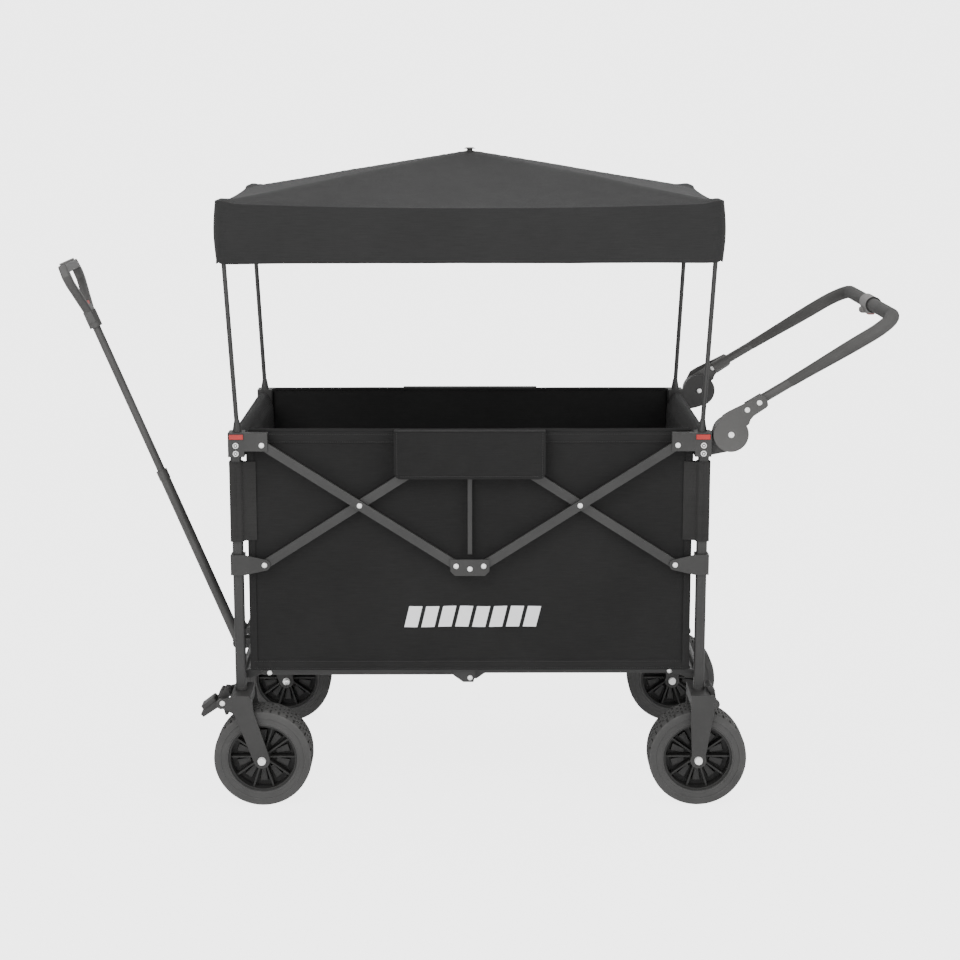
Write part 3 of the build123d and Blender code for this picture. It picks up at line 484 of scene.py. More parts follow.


# the edge colour in each finish is a painted highlight along the rounded edges, with a little edge wear
finishes = {
    "framePaint": {"dark": (0.0200, 0.0197, 0.0194), "light": (0.0310, 0.0306, 0.0300), "rough": (0.40, 0.52),
                   "grain": 0.0011, "bump": 0.35, "depth": 0.00022, "rubHighlight": 0.45,
                   "rubHighlightColour": (0.15, 0.148, 0.145),
                   "dust": 0.03, "coat": 0.05, "specular": 0.34},
    "handlePaint": {"dark": (0.048, 0.047, 0.046), "light": (0.070, 0.069, 0.067), "rough": (0.42, 0.54),
                    "grain": 0.0010, "bump": 0.35, "depth": 0.0002, "rubHighlight": 0.35,
                    "rubHighlightColour": (0.22, 0.215, 0.21),
                    "dust": 0.03, "coat": 0.04, "specular": 0.36},
    "housingPlastic": {"dark": (0.120, 0.114, 0.112), "light": (0.165, 0.158, 0.154), "rough": (0.44, 0.56),
                       "grain": 0.0008, "bump": 0.4, "depth": 0.00015, "rubHighlight": 0.2,
                       "rubHighlightColour": (0.28, 0.27, 0.265),
                       "dust": 0.03, "specular": 0.36},
    "steelZinc": {"dark": (0.86, 0.86, 0.85), "light": (0.96, 0.96, 0.95), "rough": (0.26, 0.40),
                  "grain": 0.0016, "bump": 0.10, "depth": 0.0001, "rubHighlight": 0.2, "rubHighlightColour": (0.95, 0.95, 0.95),
                  "dust": 0.0, "metal": 0.35},
    "blackPlastic": {"dark": (0.0225, 0.0220, 0.0216), "light": (0.0350, 0.0344, 0.0338),
                     "rough": (0.46, 0.60),
                     "grain": 0.0008, "bump": 0.5, "depth": 0.00018, "rubHighlight": 0.32,
                     "rubHighlightColour": (0.13, 0.128, 0.125),
                     "dust": 0.04, "specular": 0.36},
    "rimPlastic": {"dark": (0.0135, 0.0133, 0.0130), "light": (0.0225, 0.0222, 0.0218), "rough": (0.42, 0.56),
                   "grain": 0.0010, "bump": 0.35, "depth": 0.00016, "rubHighlight": 0.5,
                   "rubHighlightColour": (0.12, 0.118, 0.115),
                   "dust": 0.05, "specular": 0.34},
    "greyPlastic": {"dark": (0.130, 0.127, 0.124), "light": (0.180, 0.176, 0.172), "rough": (0.46, 0.58),
                    "grain": 0.0008, "bump": 0.5, "depth": 0.00018, "rubHighlight": 0.2,
                    "rubHighlightColour": (0.30, 0.29, 0.28),
                    "dust": 0.04, "specular": 0.35},
    "redPlastic": {"dark": (0.30, 0.008, 0.006), "light": (0.42, 0.014, 0.010), "rough": (0.34, 0.46),
                   "grain": 0.0009, "bump": 0.3, "depth": 0.00014, "rubHighlight": 0.12,
                   "rubHighlightColour": (0.50, 0.05, 0.04),
                   "dust": 0.02},
    "tyreRubber": {"dark": (0.046, 0.0455, 0.045), "light": (0.064, 0.0633, 0.0625), "rough": (0.78, 0.92),
                   "grain": 0.0012, "bump": 0.6, "depth": 0.0003, "rubHighlight": 0.2,
                   "rubHighlightColour": (0.12, 0.118, 0.115),
                   "dust": 0.10, "rubHighlightWidth": 0.002, "specular": 0.3},
    "gripFoam": {"dark": (0.050, 0.0493, 0.048), "light": (0.078, 0.0768, 0.075), "rough": (0.82, 0.95),
                 "grain": 0.0013, "bump": 0.9, "depth": 0.0005, "rubHighlight": 0.1, "rubHighlightColour": (0.13, 0.128, 0.125),
                 "dust": 0.03, "specular": 0.25},
}
hard = {name: hardFinish(name, look) for name, look in finishes.items()}

weaves = {
    "tubOxford": {"dark": (0.0080, 0.0079, 0.0079), "light": (0.0200, 0.0198, 0.0197), "pitch": 0.0011,
                  "slub": 0.5,
                  "rough": (0.74, 0.9), "sheen": 0.05, "specular": 0.14, "crumple": 0.0009, "bump": 0.7,
                  "dust": 0.008},
    "canopyOxford": {"dark": (0.0130, 0.0130, 0.0131), "light": (0.0290, 0.0289, 0.0290), "pitch": 0.0011,
                     "slub": 0.5,
                     "rough": (0.72, 0.88), "sheen": 0.07, "specular": 0.18, "crumple": 0.0008, "bump": 0.7,
                     "dust": 0.012},
    "hemTape": {"dark": (0.0085, 0.0084, 0.0084), "light": (0.0215, 0.0213, 0.0212), "pitch": 0.0016,
                "slub": 0.3,
                "rough": (0.68, 0.84), "sheen": 0.05, "specular": 0.16, "crumple": 0.0003, "bump": 0.8,
                "dust": 0.01},
    "sleeveOxford": {"dark": (0.0150, 0.0147, 0.0145), "light": (0.0330, 0.0325, 0.0320), "pitch": 0.0011,
                     "slub": 0.5,
                     "rough": (0.74, 0.9), "sheen": 0.05, "specular": 0.15, "crumple": 0.0007, "bump": 0.7,
                     "dust": 0.008},
    "patchCloth": {"dark": (0.74, 0.74, 0.75), "light": (0.90, 0.90, 0.91), "pitch": 0.0009, "slub": 0.3,
                   "rough": (0.42, 0.6), "sheen": 0.1, "specular": 0.5, "crumple": 0.0002, "bump": 0.5,
                   "dust": 0.0},
}
cloths = {name: clothFinish(name, look) for name, look in weaves.items()}


def threadFinish():
    material, tree, shader = newFinish("sewingThread")
    where = addNode(tree, "ShaderNodeTexCoord").outputs["Object"]
    twist = noiseAt(tree, where, 900.0, 2.0)
    tree.links.new(blendColours(tree, twist, (0.013, 0.013, 0.013, 1), (0.032, 0.032, 0.032, 1)),
                   shader.inputs["Base Color"])
    tree.links.new(spread(tree, twist, 0.5, 0.7), shader.inputs["Roughness"])
    return material


def floorFinish():
    material, tree, shader = newFinish("paleFloor")
    where = addNode(tree, "ShaderNodeTexCoord").outputs["Object"]
    soft = noiseAt(tree, where, 0.6, 2.0)
    base = studio["floorColour"]
    tree.links.new(blendColours(tree, soft, (*base, 1), (*[c * 1.01 for c in base], 1)),
                   shader.inputs["Base Color"])
    shader.inputs["Roughness"].default_value = 0.9
    shader.inputs["Specular IOR Level"].default_value = 0.1
    glow = addNode(tree, "ShaderNodeEmission")  # keeps the backdrop bright without lighting the wagon
    glow.inputs["Color"].default_value = (1, 1, 1, 1)
    glow.inputs["Strength"].default_value = studio["backdropGlow"]
    share = maths(tree, "MULTIPLY", addNode(tree, "ShaderNodeLightPath").outputs["Is Camera Ray"],
                  studio["glowShare"])
    mixed = addNode(tree, "ShaderNodeMixShader")
    feed(tree, mixed.inputs[0], share)
    tree.links.new(shader.outputs[0], mixed.inputs[1])
    tree.links.new(glow.outputs[0], mixed.inputs[2])
    tree.links.new(mixed.outputs[0], tree.nodes["Material Output"].inputs["Surface"])
    return material


thread = threadFinish()
floor.data.materials.append(floorFinish())
print("finishes ready")

# parts that keep their frame shape

keptParts = {
    "front_legs": "framePaint", "rear_legs": "framePaint", "front_top_tube": "framePaint",
    "rear_top_tube": "framePaint", "front_poles": "framePaint", "rear_poles": "framePaint",
    "push_tube": "handlePaint", "pull_upper_tube": "handlePaint",
}
for node, finish in keptParts.items():
    for index in range(max(1, len(cadNodes[node].data.materials))):
        if len(cadNodes[node].data.materials):
            cadNodes[node].data.materials[index] = hard[finish]
        else:
            cadNodes[node].data.materials.append(hard[finish])

# node, piece name, edge rounding in metres, slot, finish
roundedParts = [
    ("front_low_tube", "frontLowTube", 0.0006, "frame_paint", "framePaint"),
    ("rear_low_tube", "rearLowTube", 0.0006, "frame_paint", "framePaint"),
    ("front_long_bars", "frontLongBars", 0.0022, "frame_paint", "framePaint"),
    ("rear_long_bars", "rearLongBars", 0.0022, "frame_paint", "framePaint"),
    ("front_cross_bars", "frontCrossBars", 0.0022, "frame_paint", "framePaint"),
    ("rear_cross_bars", "rearCrossBars", 0.0022, "frame_paint", "framePaint"),
    ("front_brackets", "frontBrackets", 0.0014, "dark_plastic", "blackPlastic"),
    ("rear_brackets", "rearBrackets", 0.0014, "dark_plastic", "blackPlastic"),
    ("front_sliders", "frontSliders", 0.0013, "dark_plastic", "blackPlastic"),
    ("rear_sliders", "rearSliders", 0.0013, "dark_plastic", "blackPlastic"),
    ("front_leg_caps", "frontLegCaps", 0.0008, "dark_plastic", "blackPlastic"),
    ("top_hubs", "topHubs", 0.0009, "frame_paint", "framePaint"),
    ("lower_hubs", "lowerHubs", 0.0009, "dark_plastic", "blackPlastic"),
    ("front_rails", "frontRails", 0.0011, "frame_paint", "framePaint"),
    ("rear_rails", "rearRails", 0.0011, "frame_paint", "framePaint"),
    ("rear_forks", "rearForks", 0.0016, "dark_plastic", "blackPlastic"),
    ("caster_fork_near", "casterForkNear", 0.0016, "dark_plastic", "blackPlastic"),
    ("caster_fork_far", "casterForkFar", 0.0016, "dark_plastic", "blackPlastic"),
    ("front_elbows", "frontElbows", 0.0007, "dark_plastic", "blackPlastic"),
    ("rear_elbows", "rearElbows", 0.0007, "dark_plastic", "blackPlastic"),
    ("canopy_hub", "canopyHub", 0.0012, "dark_plastic", "blackPlastic"),
    ("canopy_ribs", "canopyRibs", 0.0005, "frame_paint", "framePaint"),
    ("push_arms", "pushArms", 0.0013, "dark_plastic", "handlePaint"),
    ("release_housing", "releaseHousing", 0.0022, "dark_plastic", "housingPlastic"),
    ("release_button", "releaseButton", 0.0016, "red_plastic", "redPlastic"),
    ("pull_lower_tube", "pullLowerTube", 0.0005, "frame_paint", "handlePaint"),
    ("pull_button", "pullButton", 0.0014, "red_plastic", "redPlastic"),
    ("pull_pad", "pullPad", 0.0012, "grey_plastic", "greyPlastic"),
    ("pull_grip", "pullGrip", 0.0016, "dark_plastic", "handlePaint"),
]
made = {}


def flattenKnob(piece):
    # the screw that holds the roof shows as a low flat cap
    top = canopyCap["from"]
    return reshape(piece, lambda p: Vector((p.x * canopyCap["wide"], p.y * canopyCap["wide"],
                                            top + (p.z - top) * canopyCap["low"])) if p.z > top else p)


housingLong = 1.35
canopyCap = {"from": 1.1434, "wide": 1.25, "low": 0.42}
for node, name, rounding, slot, finish in roundedParts:
    piece = fromCad(node, name, rounding)
    if node == "canopy_hub":
        flattenKnob(piece)
    if node == "release_housing":
        reshape(piece, lambda p: Vector((p.x, p.y * housingLong, p.z)))
    made[node] = place(piece, bodyOf[node], slot, hard[finish], node)


def crumpleWithFold(piece):
    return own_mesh(piece)


for node in ("canopy_ribs", "canopy_hub"):
    crumpleWithFold(made[node])
print("rounded parts ready")

# rivets and screws

rivetSet = {"radius": 0.0047, "height": 0.0023, "flange": 0.0007}


def domeHead(name, radius, height, flange):
    # Domed head on a thin flange, growing towards -Y from y = 0.
    clearSelection()
    bpy.ops.mesh.primitive_uv_sphere_add(segments=20, ring_count=12, radius=radius)
    piece = named(name)
    openMesh(piece)
    bpy.ops.mesh.select_all(action="SELECT")
    bpy.ops.mesh.bisect(plane_co=(0, 0, 0), plane_no=(0, 0, 1), use_fill=True, clear_inner=True)
    pickFaces(piece, lambda f: f.normal.z < -0.9)
    bpy.ops.mesh.extrude_region_move(TRANSFORM_OT_translate={"value": (0, 0, -flange)})
    closeMesh()
    reshape(piece, lambda p: Vector((p.x, -p.z * (height - flange) / radius - flange, p.y)) if p.z >= 0
            else Vector((p.x, 0, p.y)))
    return smooth(tidyMesh(piece), 40)


rivet = domeHead("rivetHead", rivetSet["radius"], rivetSet["height"], rivetSet["flange"])
screw = domeHead("screwHead", 0.0053, 0.0026, 0.0008)
openMesh(screw)  # recess in the top of the screw head
pickFaces(screw, lambda f: f.normal.y < -0.95 and f.calc_center_median().y < -0.002)
bpy.ops.mesh.inset(thickness=0.0004, depth=-0.0009)
closeMesh()


def headsOn(name, body, source, spots, both=True, slot="bright_metal", finish="steelZinc"):
    pieces = []
    for index, (x, y, z) in enumerate(spots):
        pieces.append(duplicateOf(source, f"{name}{index}", Matrix.Translation((x, -y, z))))
        if both:
            turned = Matrix.Translation((x, y, z)) @ Matrix.Rotation(math.pi, 4, "Z")
            pieces.append(duplicateOf(source, f"{name}{index}far", turned))
    return place(joinPieces(name, pieces), body, slot, hard[finish])


outer, longOut, inner = 0.2625, 0.2590, 0.2550
for end, sign in (("front", -1), ("rear", 1)):
    headsOn(end + "ArmRivets", end + "_frame", rivet, [(sign * 0.358, outer, 0.6485)])
    headsOn(end + "CornerScrews", end + "_frame", screw,
            [(sign * 0.4025, outer, 0.648), (sign * 0.4025, outer, 0.634)])
    headsOn(end + "MidRivets", end + "_long_bars", rivet, [(sign * 0.191, longOut, 0.54175)])
    headsOn(end + "SliderRivets", end + "_sliders", rivet, [(sign * 0.358, inner, 0.435)])
headsOn("topHubRivets", "top_hubs", rivet, [(-0.024, inner, 0.6485), (0.024, inner, 0.6485)])
headsOn("lowerHubRivets", "lower_hubs", rivet,
        [(-0.024, outer, 0.435), (0.024, outer, 0.435), (0, outer, 0.430)])
headsOn("railPinRivets", "front_rails", rivet, [(0, 0.2286, 0.223)])
headsOn("frontRailRivets", "front_rails", rivet, [(-0.356, 0.2262, 0.232)])
headsOn("rearRailRivets", "rear_rails", rivet, [(0.3555, 0.2161, 0.232)])
headsOn("forkRivetsNear", "caster_near", rivet, [(-0.434, 0.2830, 0.193)], both=False)
farFork = duplicateOf(rivet, "forkRivetsFar", Matrix.Translation((-0.434, 0.2830, 0.193))
                      @ Matrix.Rotation(math.pi, 4, "Z"))
place(farFork, "caster_far", "bright_metal", hard["steelZinc"])

redLabel = {"x": (-0.4136, -0.3893), "z": (0.6586, 0.6673), "out": (0.2620, 0.2641)}
for end, sign in (("front", 1), ("rear", -1)):
    tags, recessShadeFrames = [], []
    for side in (-1, 1):
        xs = sorted(x * sign for x in redLabel["x"])
        ys = sorted(y * side for y in redLabel["out"])
        tag = addBox("tag", (xs[0], ys[0], redLabel["z"][0]), (xs[1], ys[1], redLabel["z"][1]))
        tags.append(roundEdges(tag, 0.0009, 3))
        # thin bezel around the tag in the darker rim finish; its darkness is painted shade for the recess around the
        # label
        ys = sorted((0.2622 * side, 0.2632 * side))
        rim = addBox("rim", (xs[0] - 0.0011, ys[0], redLabel["z"][0] - 0.0012),
                     (xs[1] + 0.0011, ys[1], redLabel["z"][1] + 0.0012))
        recessShadeFrames.append(roundEdges(rim, 0.0004, 2))
    place(joinPieces(end + "RedTags", tags), end + "_frame", "red_plastic", hard["redPlastic"])
    place(joinPieces(end + "TagRecessShadeFrames", recessShadeFrames), end + "_frame", "dark_plastic", hard["rimPlastic"])
print("fixings ready")

# wheels

tyreShape = {"radius": 0.0841, "blocks": 0.0027, "width": 0.0606, "bore": 0.061, "facets": 144,
             "shoulder": 0.0105}


def makeTyre():
    t = tyreShape
    clearSelection()
    bpy.ops.mesh.primitive_cylinder_add(vertices=t["facets"], radius=t["radius"], depth=t["width"],
                                        end_fill_type="NGON", rotation=(math.pi / 2, 0, 0))
    piece = settle(named("tyreMaster"))
    half = t["width"] / 2
    openMesh(piece)
    pickFaces(piece, lambda f: abs(f.normal.y) > 0.9)
    bpy.ops.mesh.inset(thickness=t["radius"] - t["bore"], use_even_offset=True)
    bpy.ops.mesh.delete(type="FACE")
    bpy.ops.mesh.select_mode(type="EDGE")
    pickEdges(piece, lambda e: all(math.hypot(v.co.x, v.co.z) < t["bore"] + 0.003 for v in e.verts))
    bpy.ops.mesh.bridge_edge_loops()
    pickEdges(piece, lambda e: all(math.hypot(v.co.x, v.co.z) > t["radius"] - 0.0005 for v in e.verts)
              and abs(e.verts[0].co.y - e.verts[1].co.y) < 0.001)
    bpy.ops.mesh.bevel(offset=t["shoulder"], segments=5, profile=0.55)
    bpy.ops.mesh.select_mode(type="FACE")
    pickFaces(piece, lambda f: abs(f.normal.y) > 0.97)
    bpy.ops.mesh.inset(thickness=0.0015, depth=0.0, use_even_offset=True)
    bpy.ops.mesh.inset(thickness=0.0008, depth=0.0008, use_even_offset=True)
    bpy.ops.mesh.inset(thickness=0.0012, depth=0.0, use_even_offset=True)
    bpy.ops.mesh.inset(thickness=0.0007, depth=-0.0006, use_even_offset=True)
    for y in (-0.0125, -0.0045, 0.0045, 0.0125):
        bpy.ops.mesh.select_all(action="SELECT")
        bpy.ops.mesh.bisect(plane_co=(0, y, 0), plane_no=(0, 1, 0))

    def isBlock(face):
        c = face.calc_center_median()
        r = math.hypot(c.x, c.z)
        if r < t["radius"] - 0.0075 or abs(face.normal.y) > 0.9:
            return False
        facet = int(math.floor((math.degrees(math.atan2(c.z, c.x)) + 360) / (360 / t["facets"])))
        row = 0 if abs(c.y) < 0.0045 else 1 if abs(c.y) < 0.0125 else 2
        if row == 1 and abs(c.y) > 0.0115:
            return False
        return (facet + (0, 2, 0)[row] * (1 if c.y >= 0 else -1)) % 4 != 0

    pickFaces(piece, isBlock)
    bpy.ops.mesh.extrude_region()

    def outward(p):
        r = math.hypot(p.x, p.z)
        return Vector((p.x * (r + t["blocks"]) / r, p.y, p.z * (r + t["blocks"]) / r))

    movePicked(piece, outward)
    closeMesh()
    tidyMesh(piece)
    return smooth(piece, 30)


tyre = makeTyre()
def middleOf(node):
    low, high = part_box(node)
    return (Vector(low) + Vector(high)) / 2


padSet = {"count": 10, "inner": 0.0235, "outer": 0.0475, "spread": 21.0, "out": 0.0105, "depth": 0.0150}


def makePads():
    # raised wedges between the spokes, on both sides of the web
    p = padSet
    pads = []
    for side in (-1, 1):
        for index in range(p["count"]):
            pad = addBox("pad", (p["inner"], p["out"] - p["depth"], -1), (p["outer"], p["out"], 1))
            turn = math.radians((index + 0.5) * 360 / p["count"])
            half = math.radians(p["spread"] / 2)
            reshape(pad, lambda q: Vector((q.x, q.y * side, math.copysign(q.x * math.tan(half) * (0.82 if q.y > 0 else 1), q.z))))
            roundEdges(tidyMesh(pad), 0.0016, 2)
            pad.data.transform(Matrix.Rotation(turn, 4, "Y"))
            pads.append(pad)
    return joinPieces("padMaster", pads)


wheelPlaces = {end: (middleOf(end + "_tyre_near").x, middleOf(end + "_tyre_near").z)
               for end in ("front", "rear")}
pads = makePads()
boltHead = domeHead("boltHead", 0.0074, 0.0049, 0.0012)
for end, (x, z) in wheelPlaces.items():
    for side, y in (("near", -0.240), ("far", 0.240)):
        label = end.capitalize() + side.capitalize()
        body = f"{end}_wheel_{side}"
        at = Matrix.Translation((x, y, z))
        place(duplicateOf(tyre, "tyre" + label, at @ Matrix.Rotation(0.7 * x + y, 4, "Y")), body,
              "tyre_rubber",
              hard["tyreRubber"], f"{end}_tyre_{side}")
        place(fromCad(f"{end}_rim_{side}", "rim" + label, 0.0008), body, "dark_plastic",
              hard["rimPlastic"], f"{end}_rim_{side}")
        place(duplicateOf(pads, "rimPads" + label, at), body, "dark_plastic", hard["blackPlastic"])
for side, sign in (("near", -1), ("far", 1)):
    node = f"front_axle_{side}"
    parts = [fromCad(node, "axle", 0.0)]
    for y, turn in ((0.240 * sign - 0.0431, 0), (0.240 * sign + 0.0431, math.pi)):
        parts.append(duplicateOf(boltHead, "bolt", Matrix.Translation((wheelPlaces["front"][0], y,
                                                                       wheelPlaces["front"][1]))
                                                                       @ Matrix.Rotation(turn, 4, "Z")))
    place(joinPieces("frontAxle" + side.capitalize(), parts), f"caster_{side}", "bright_metal",
          hard["steelZinc"], node)
parts = [fromCad("rear_axles", "axle", 0.0)]
for centre in (-0.240, 0.240):
    for y, turn in ((centre - 0.0431, 0), (centre + 0.0431, math.pi)):
        parts.append(duplicateOf(boltHead, "bolt", Matrix.Translation((wheelPlaces["rear"][0], y,
                                                                       wheelPlaces["rear"][1]))
                                                                       @ Matrix.Rotation(turn, 4, "Z")))
place(joinPieces("rearAxlePair", parts), "rear_frame", "bright_metal", hard["steelZinc"], "rear_axles")
for old in (tyre, boltHead, pads):
    bpy.data.objects.remove(old)
print("wheels ready")

# brake pedals

pedalSet = {"edge": 0.0014, "ribHeight": 0.0013, "ribWidth": 0.0022}


def addRibs(name, start, end, count, halfWidth, lift, centreY):
    # Cross ribs along the line from start to end, each an X and Z pair.
    ribs = []
    direction = (Vector((end[0], 0, end[1])) - Vector((start[0], 0, start[1]))).normalized()
    up = Vector((-direction.z, 0, direction.x)) * lift
    for index in range(count):
        t = (index + 0.5) / count
        spot = Vector((start[0], 0, start[1])).lerp(Vector((end[0], 0, end[1])), t) + up * 0.4
        rib = addBox("rib", (-pedalSet["ribWidth"] / 2, centreY - halfWidth, -pedalSet["ribHeight"]),
                     (pedalSet["ribWidth"] / 2, centreY + halfWidth, pedalSet["ribHeight"]))
        turn = Matrix.Rotation(-math.atan2(direction.z, direction.x), 4, "Y")
        rib.data.transform(Matrix.Translation(spot) @ turn)
        ribs.append(roundEdges(rib, 0.0005, 2))
    return ribs


def addPad(middle, along, long, thick, halfWidth, centreY):
    # a rounded tread block laid along the lever
    pad = addBox("pad", (-long / 2, -halfWidth, -thick / 2), (long / 2, halfWidth, thick / 2))
    roundEdges(pad, thick * 0.32, 4)
    turn = Matrix.Rotation(-math.atan2(along[1], along[0]), 4, "Y")
    pad.data.transform(Matrix.Translation((middle[0], centreY, middle[1])) @ turn)
    return pad


for side, sign in (("near", -1), ("far", 1)):
    y = 0.240 * sign
    body = fromCad(f"front_pedal_{side}", "pedal", pedalSet["edge"], 3)
    blocks = [addPad((-0.4610, 0.1830), (-0.0340, -0.0260), 0.0290, 0.0105, 0.0170, y),
              addPad((-0.4385, 0.2010), (-0.0060, -0.0110), 0.0150, 0.0100, 0.0170, y)]
    ribs = blocks + addRibs("rib", (-0.4540, 0.1935), (-0.4755, 0.1775), 6, 0.0160, 0.001, y)
    ribs += addRibs("rib", (-0.4335, 0.2085), (-0.4275, 0.2085), 2, 0.0165, 0.001, y)
    place(joinPieces("frontPedal" + side.capitalize(), [body] + ribs), f"front_pedal_{side}", "dark_plastic",
          hard["blackPlastic"], f"front_pedal_{side}")
    body = fromCad(f"rear_pedal_{side}", "pedal", pedalSet["edge"], 3)
    ribs = addRibs("rib", (0.4235, 0.2175), (0.4325, 0.2045), 4, 0.0165, 0.001, y)
    place(joinPieces("rearPedal" + side.capitalize(), [body] + ribs), f"rear_pedal_{side}", "dark_plastic",
          hard["blackPlastic"], f"rear_pedal_{side}")
print("pedals ready")

# cloth helpers


def writeUv(piece, lay):
    # Flat cloth coordinates in metres, from where each vertex lies before shaping.
    layer = piece.data.uv_layers.get("UVMap") or piece.data.uv_layers.new(name="UVMap")
    verts = piece.data.vertices
    for loop in piece.data.loops:
        layer.data[loop.index].uv = lay(verts[loop.vertex_index].co)


def clothGrid(name, width, length, cells, where, thickness, offset=0.0):
    # A grid of cloth width by length, each point placed by where(u, v).
    clearSelection()
    bpy.ops.mesh.primitive_grid_add(x_subdivisions=cells[0], y_subdivisions=cells[1], size=1,
                                    location=(0, 0, 0))
    piece = named(name)
    piece.scale = (width, length, 1)
    settle(piece)
    reshape(piece, lambda p: Vector((p.x + width / 2, p.y + length / 2, 0)))
    writeUv(piece, lambda p: (p.x, p.y))
    reshape(piece, lambda p: Vector(where(p.x, p.y)))
    openMesh(piece)
    bpy.ops.mesh.select_all(action="SELECT")
    bpy.ops.mesh.normals_make_consistent(inside=False)
    closeMesh()
    addModifier(piece, "SOLIDIFY", thickness=thickness, offset=offset, use_even_offset=False)
    return smooth(piece, 50)


stitchSet = {"pitch": 0.0042, "length": 0.0029, "width": 0.0009, "height": 0.0006}
stitchMaster = roundEdges(addBox("stitchMaster", (-stitchSet["length"] / 2, -stitchSet["width"] / 2, -0.0002),
                                 (stitchSet["length"] / 2, stitchSet["width"] / 2, stitchSet["height"])),
                                 0.0003, 1)
stitchVerts = [v.co.copy() for v in stitchMaster.data.vertices]
stitchFaces = [list(f.vertices) for f in stitchMaster.data.polygons]


def stitchesAlong(name, lines):
    # Stitches along polylines, each line a list of (point, outward normal).
    verts, faces = [], []
    for line in lines:
        carry = 0.0
        for (start, normalA), (end, normalB) in zip(line, line[1:]):
            run = (end - start).length
            if run < 1e-7:
                continue
            along = (end - start) / run
            at = carry
            while at < run:
                spot = start.lerp(end, at / run)
                up = normalA.lerp(normalB, at / run).normalized()
                side = up.cross(along).normalized()
                up = along.cross(side).normalized()
                base = len(verts)
                verts += [spot + along * p.x + side * p.y + up * p.z for p in stitchVerts]
                faces += [[base + i for i in face] for face in stitchFaces]
                at += stitchSet["pitch"]
            carry = at - run
    mesh = bpy.data.meshes.new(name)
    mesh.from_pydata(verts, [], faces)
    piece = bpy.data.objects.new(name, mesh)
    bpy.context.scene.collection.objects.link(piece)
    return smooth(piece, 30)


def wave(x, y, seed, scale):
    return noise.noise(Vector((x * scale[0] + seed * 7.31, y * scale[1] - seed * 3.17, seed * 1.93)))


def hold(t, reach):
    # 0 at both ends of 0 to 1, rising to 1 over reach.
    return min(1.0, max(0.0, t) / reach, max(0.0, 1 - t) / reach) ** 0.7


# tub cloth

tub = {"half": 0.3836, "low": 0.2404, "top": 0.6700, "wall": 0.2360, "thick": 0.0016, "folds": 0.0030}


def wallOut(x, z, seed):
    # How far the side wall stands out from the middle plane, creases included.
    u = (x + tub["half"]) / (2 * tub["half"])
    w = (z - tub["low"]) / (tub["top"] - tub["low"])
    free = hold(u, 0.06) * hold(w, 0.10)
    slack = tub["folds"] * (0.9 * wave(x, z, seed, (7.0, 2.4)) + 0.45 * wave(x, z, seed + 3, (21.0, 6.0)))
    lower = 0.0022 * math.sin(x * 46 + 2.5 * wave(x, z, seed + 5, (5, 5))) * math.exp(-((w - 0.12) / 0.16) ** 2)
    drawn = 0.0016 * math.sin((x + (z - 0.5) * 1.4) * 70
                              + seed) * math.exp(-((u - 0.5) / 0.16) ** 2) * math.exp(-((w - 0.42) / 0.2) ** 2)
    belly = 0.0020 * math.sin(math.pi * u) * math.sin(math.pi * w)
    out = (slack + lower + drawn + belly) * free
    return tub["wall"] + max(-0.008, min(0.0052, out))


def nearWall(side, seed):
    def where(u, v):
        x, z = u - tub["half"], tub["low"] + v
        dip = 0.0012 * math.sin(x * 21 + seed) * (1 - v / (tub["top"] - tub["low"])) ** 6
        return (x, side * wallOut(x, z, seed), z + max(0, dip))
    return where


for side, name, seed in ((-1, "sideWallNear", 1), (1, "sideWallFar", 4)):
    height = tub["top"] - tub["low"]
    piece = clothGrid(name, 2 * tub["half"], height, (118, 66), nearWall(side, seed), tub["thick"])
    place(piece, "front_frame", "tub_cloth", cloths["tubOxford"], "side_walls")
    crumpleWithFold(piece)
    # hems: folded tape along the top and the bottom edge, with two rows of stitches each
    for label, zLow, zHigh, out in (("rimHem", 0.6480, 0.6722, 0.0019), ("footHem", 0.2406, 0.2590, 0.0016)):
        def tape(u, v, zLow=zLow, zHigh=zHigh, out=out):
            x, z = u - tub["half"] + 0.0006, zLow + v
            roll = 0.0010 * math.sin(math.pi * min(1, v / (zHigh - zLow)))
            return (x, side * (wallOut(x, min(z, tub["top"]), seed) + out * 0.5 + roll), z)
        hem = clothGrid(label + name[8:], 2 * tub["half"] - 0.0012, zHigh - zLow, (110, 6), tape, 0.0013)
        place(hem, "front_frame", "tub_cloth", cloths["hemTape"])
        crumpleWithFold(hem)
    rows = []
    for z in (0.6505, 0.6640, 0.2565, 0.2440):
        line = []
        for step in range(111):
            x = -tub["half"] + 0.004 + step * (2 * tub["half"] - 0.008) / 110
            line.append((Vector((x, side * (wallOut(x, z, seed) + 0.0027), z)), Vector((0, side, 0))))
        rows.append(line)
    stitches = stitchesAlong("wallStitches" + name[8:], rows)
    place(stitches, "front_frame", "tub_cloth", thread)
    crumpleWithFold(stitches)
print("side walls ready")

# rolled binding on the rim, a padded roll of cloth along the edge of each side wall
for side, name, seed in ((-1, "rimRollNear", 1), (1, "rimRollFar", 4)):
    roll = addRod(name, (-0.3805, side * 0.2362, 0.6705), (0.3805, side * 0.2362, 0.6705), 0.0034, 16)
    openMesh(roll)
    bpy.ops.mesh.select_all(action="SELECT")
    for step in range(1, 60):
        bpy.ops.mesh.select_all(action="SELECT")
        bpy.ops.mesh.bisect(plane_co=(-0.3805 + step * 0.761 / 60, 0, 0), plane_no=(1, 0, 0))
    closeMesh()
    writeUv(roll, lambda p: (p.x, p.z + p.y))
    reshape(roll, lambda p: Vector((p.x, p.y + side * 0.0004 * wave(p.x, 0, seed, (30, 1)),
                                    p.z + 0.0007 * wave(p.x, 0, seed + 2, (12, 1)))))
    smooth(roll, 50)
    place(roll, "front_frame", "tub_cloth", cloths["hemTape"])
    crumpleWithFold(roll)

floorMat = {"half": (0.3838, 0.2350), "low": 0.2408, "thick": 0.0056, "channels": 4}


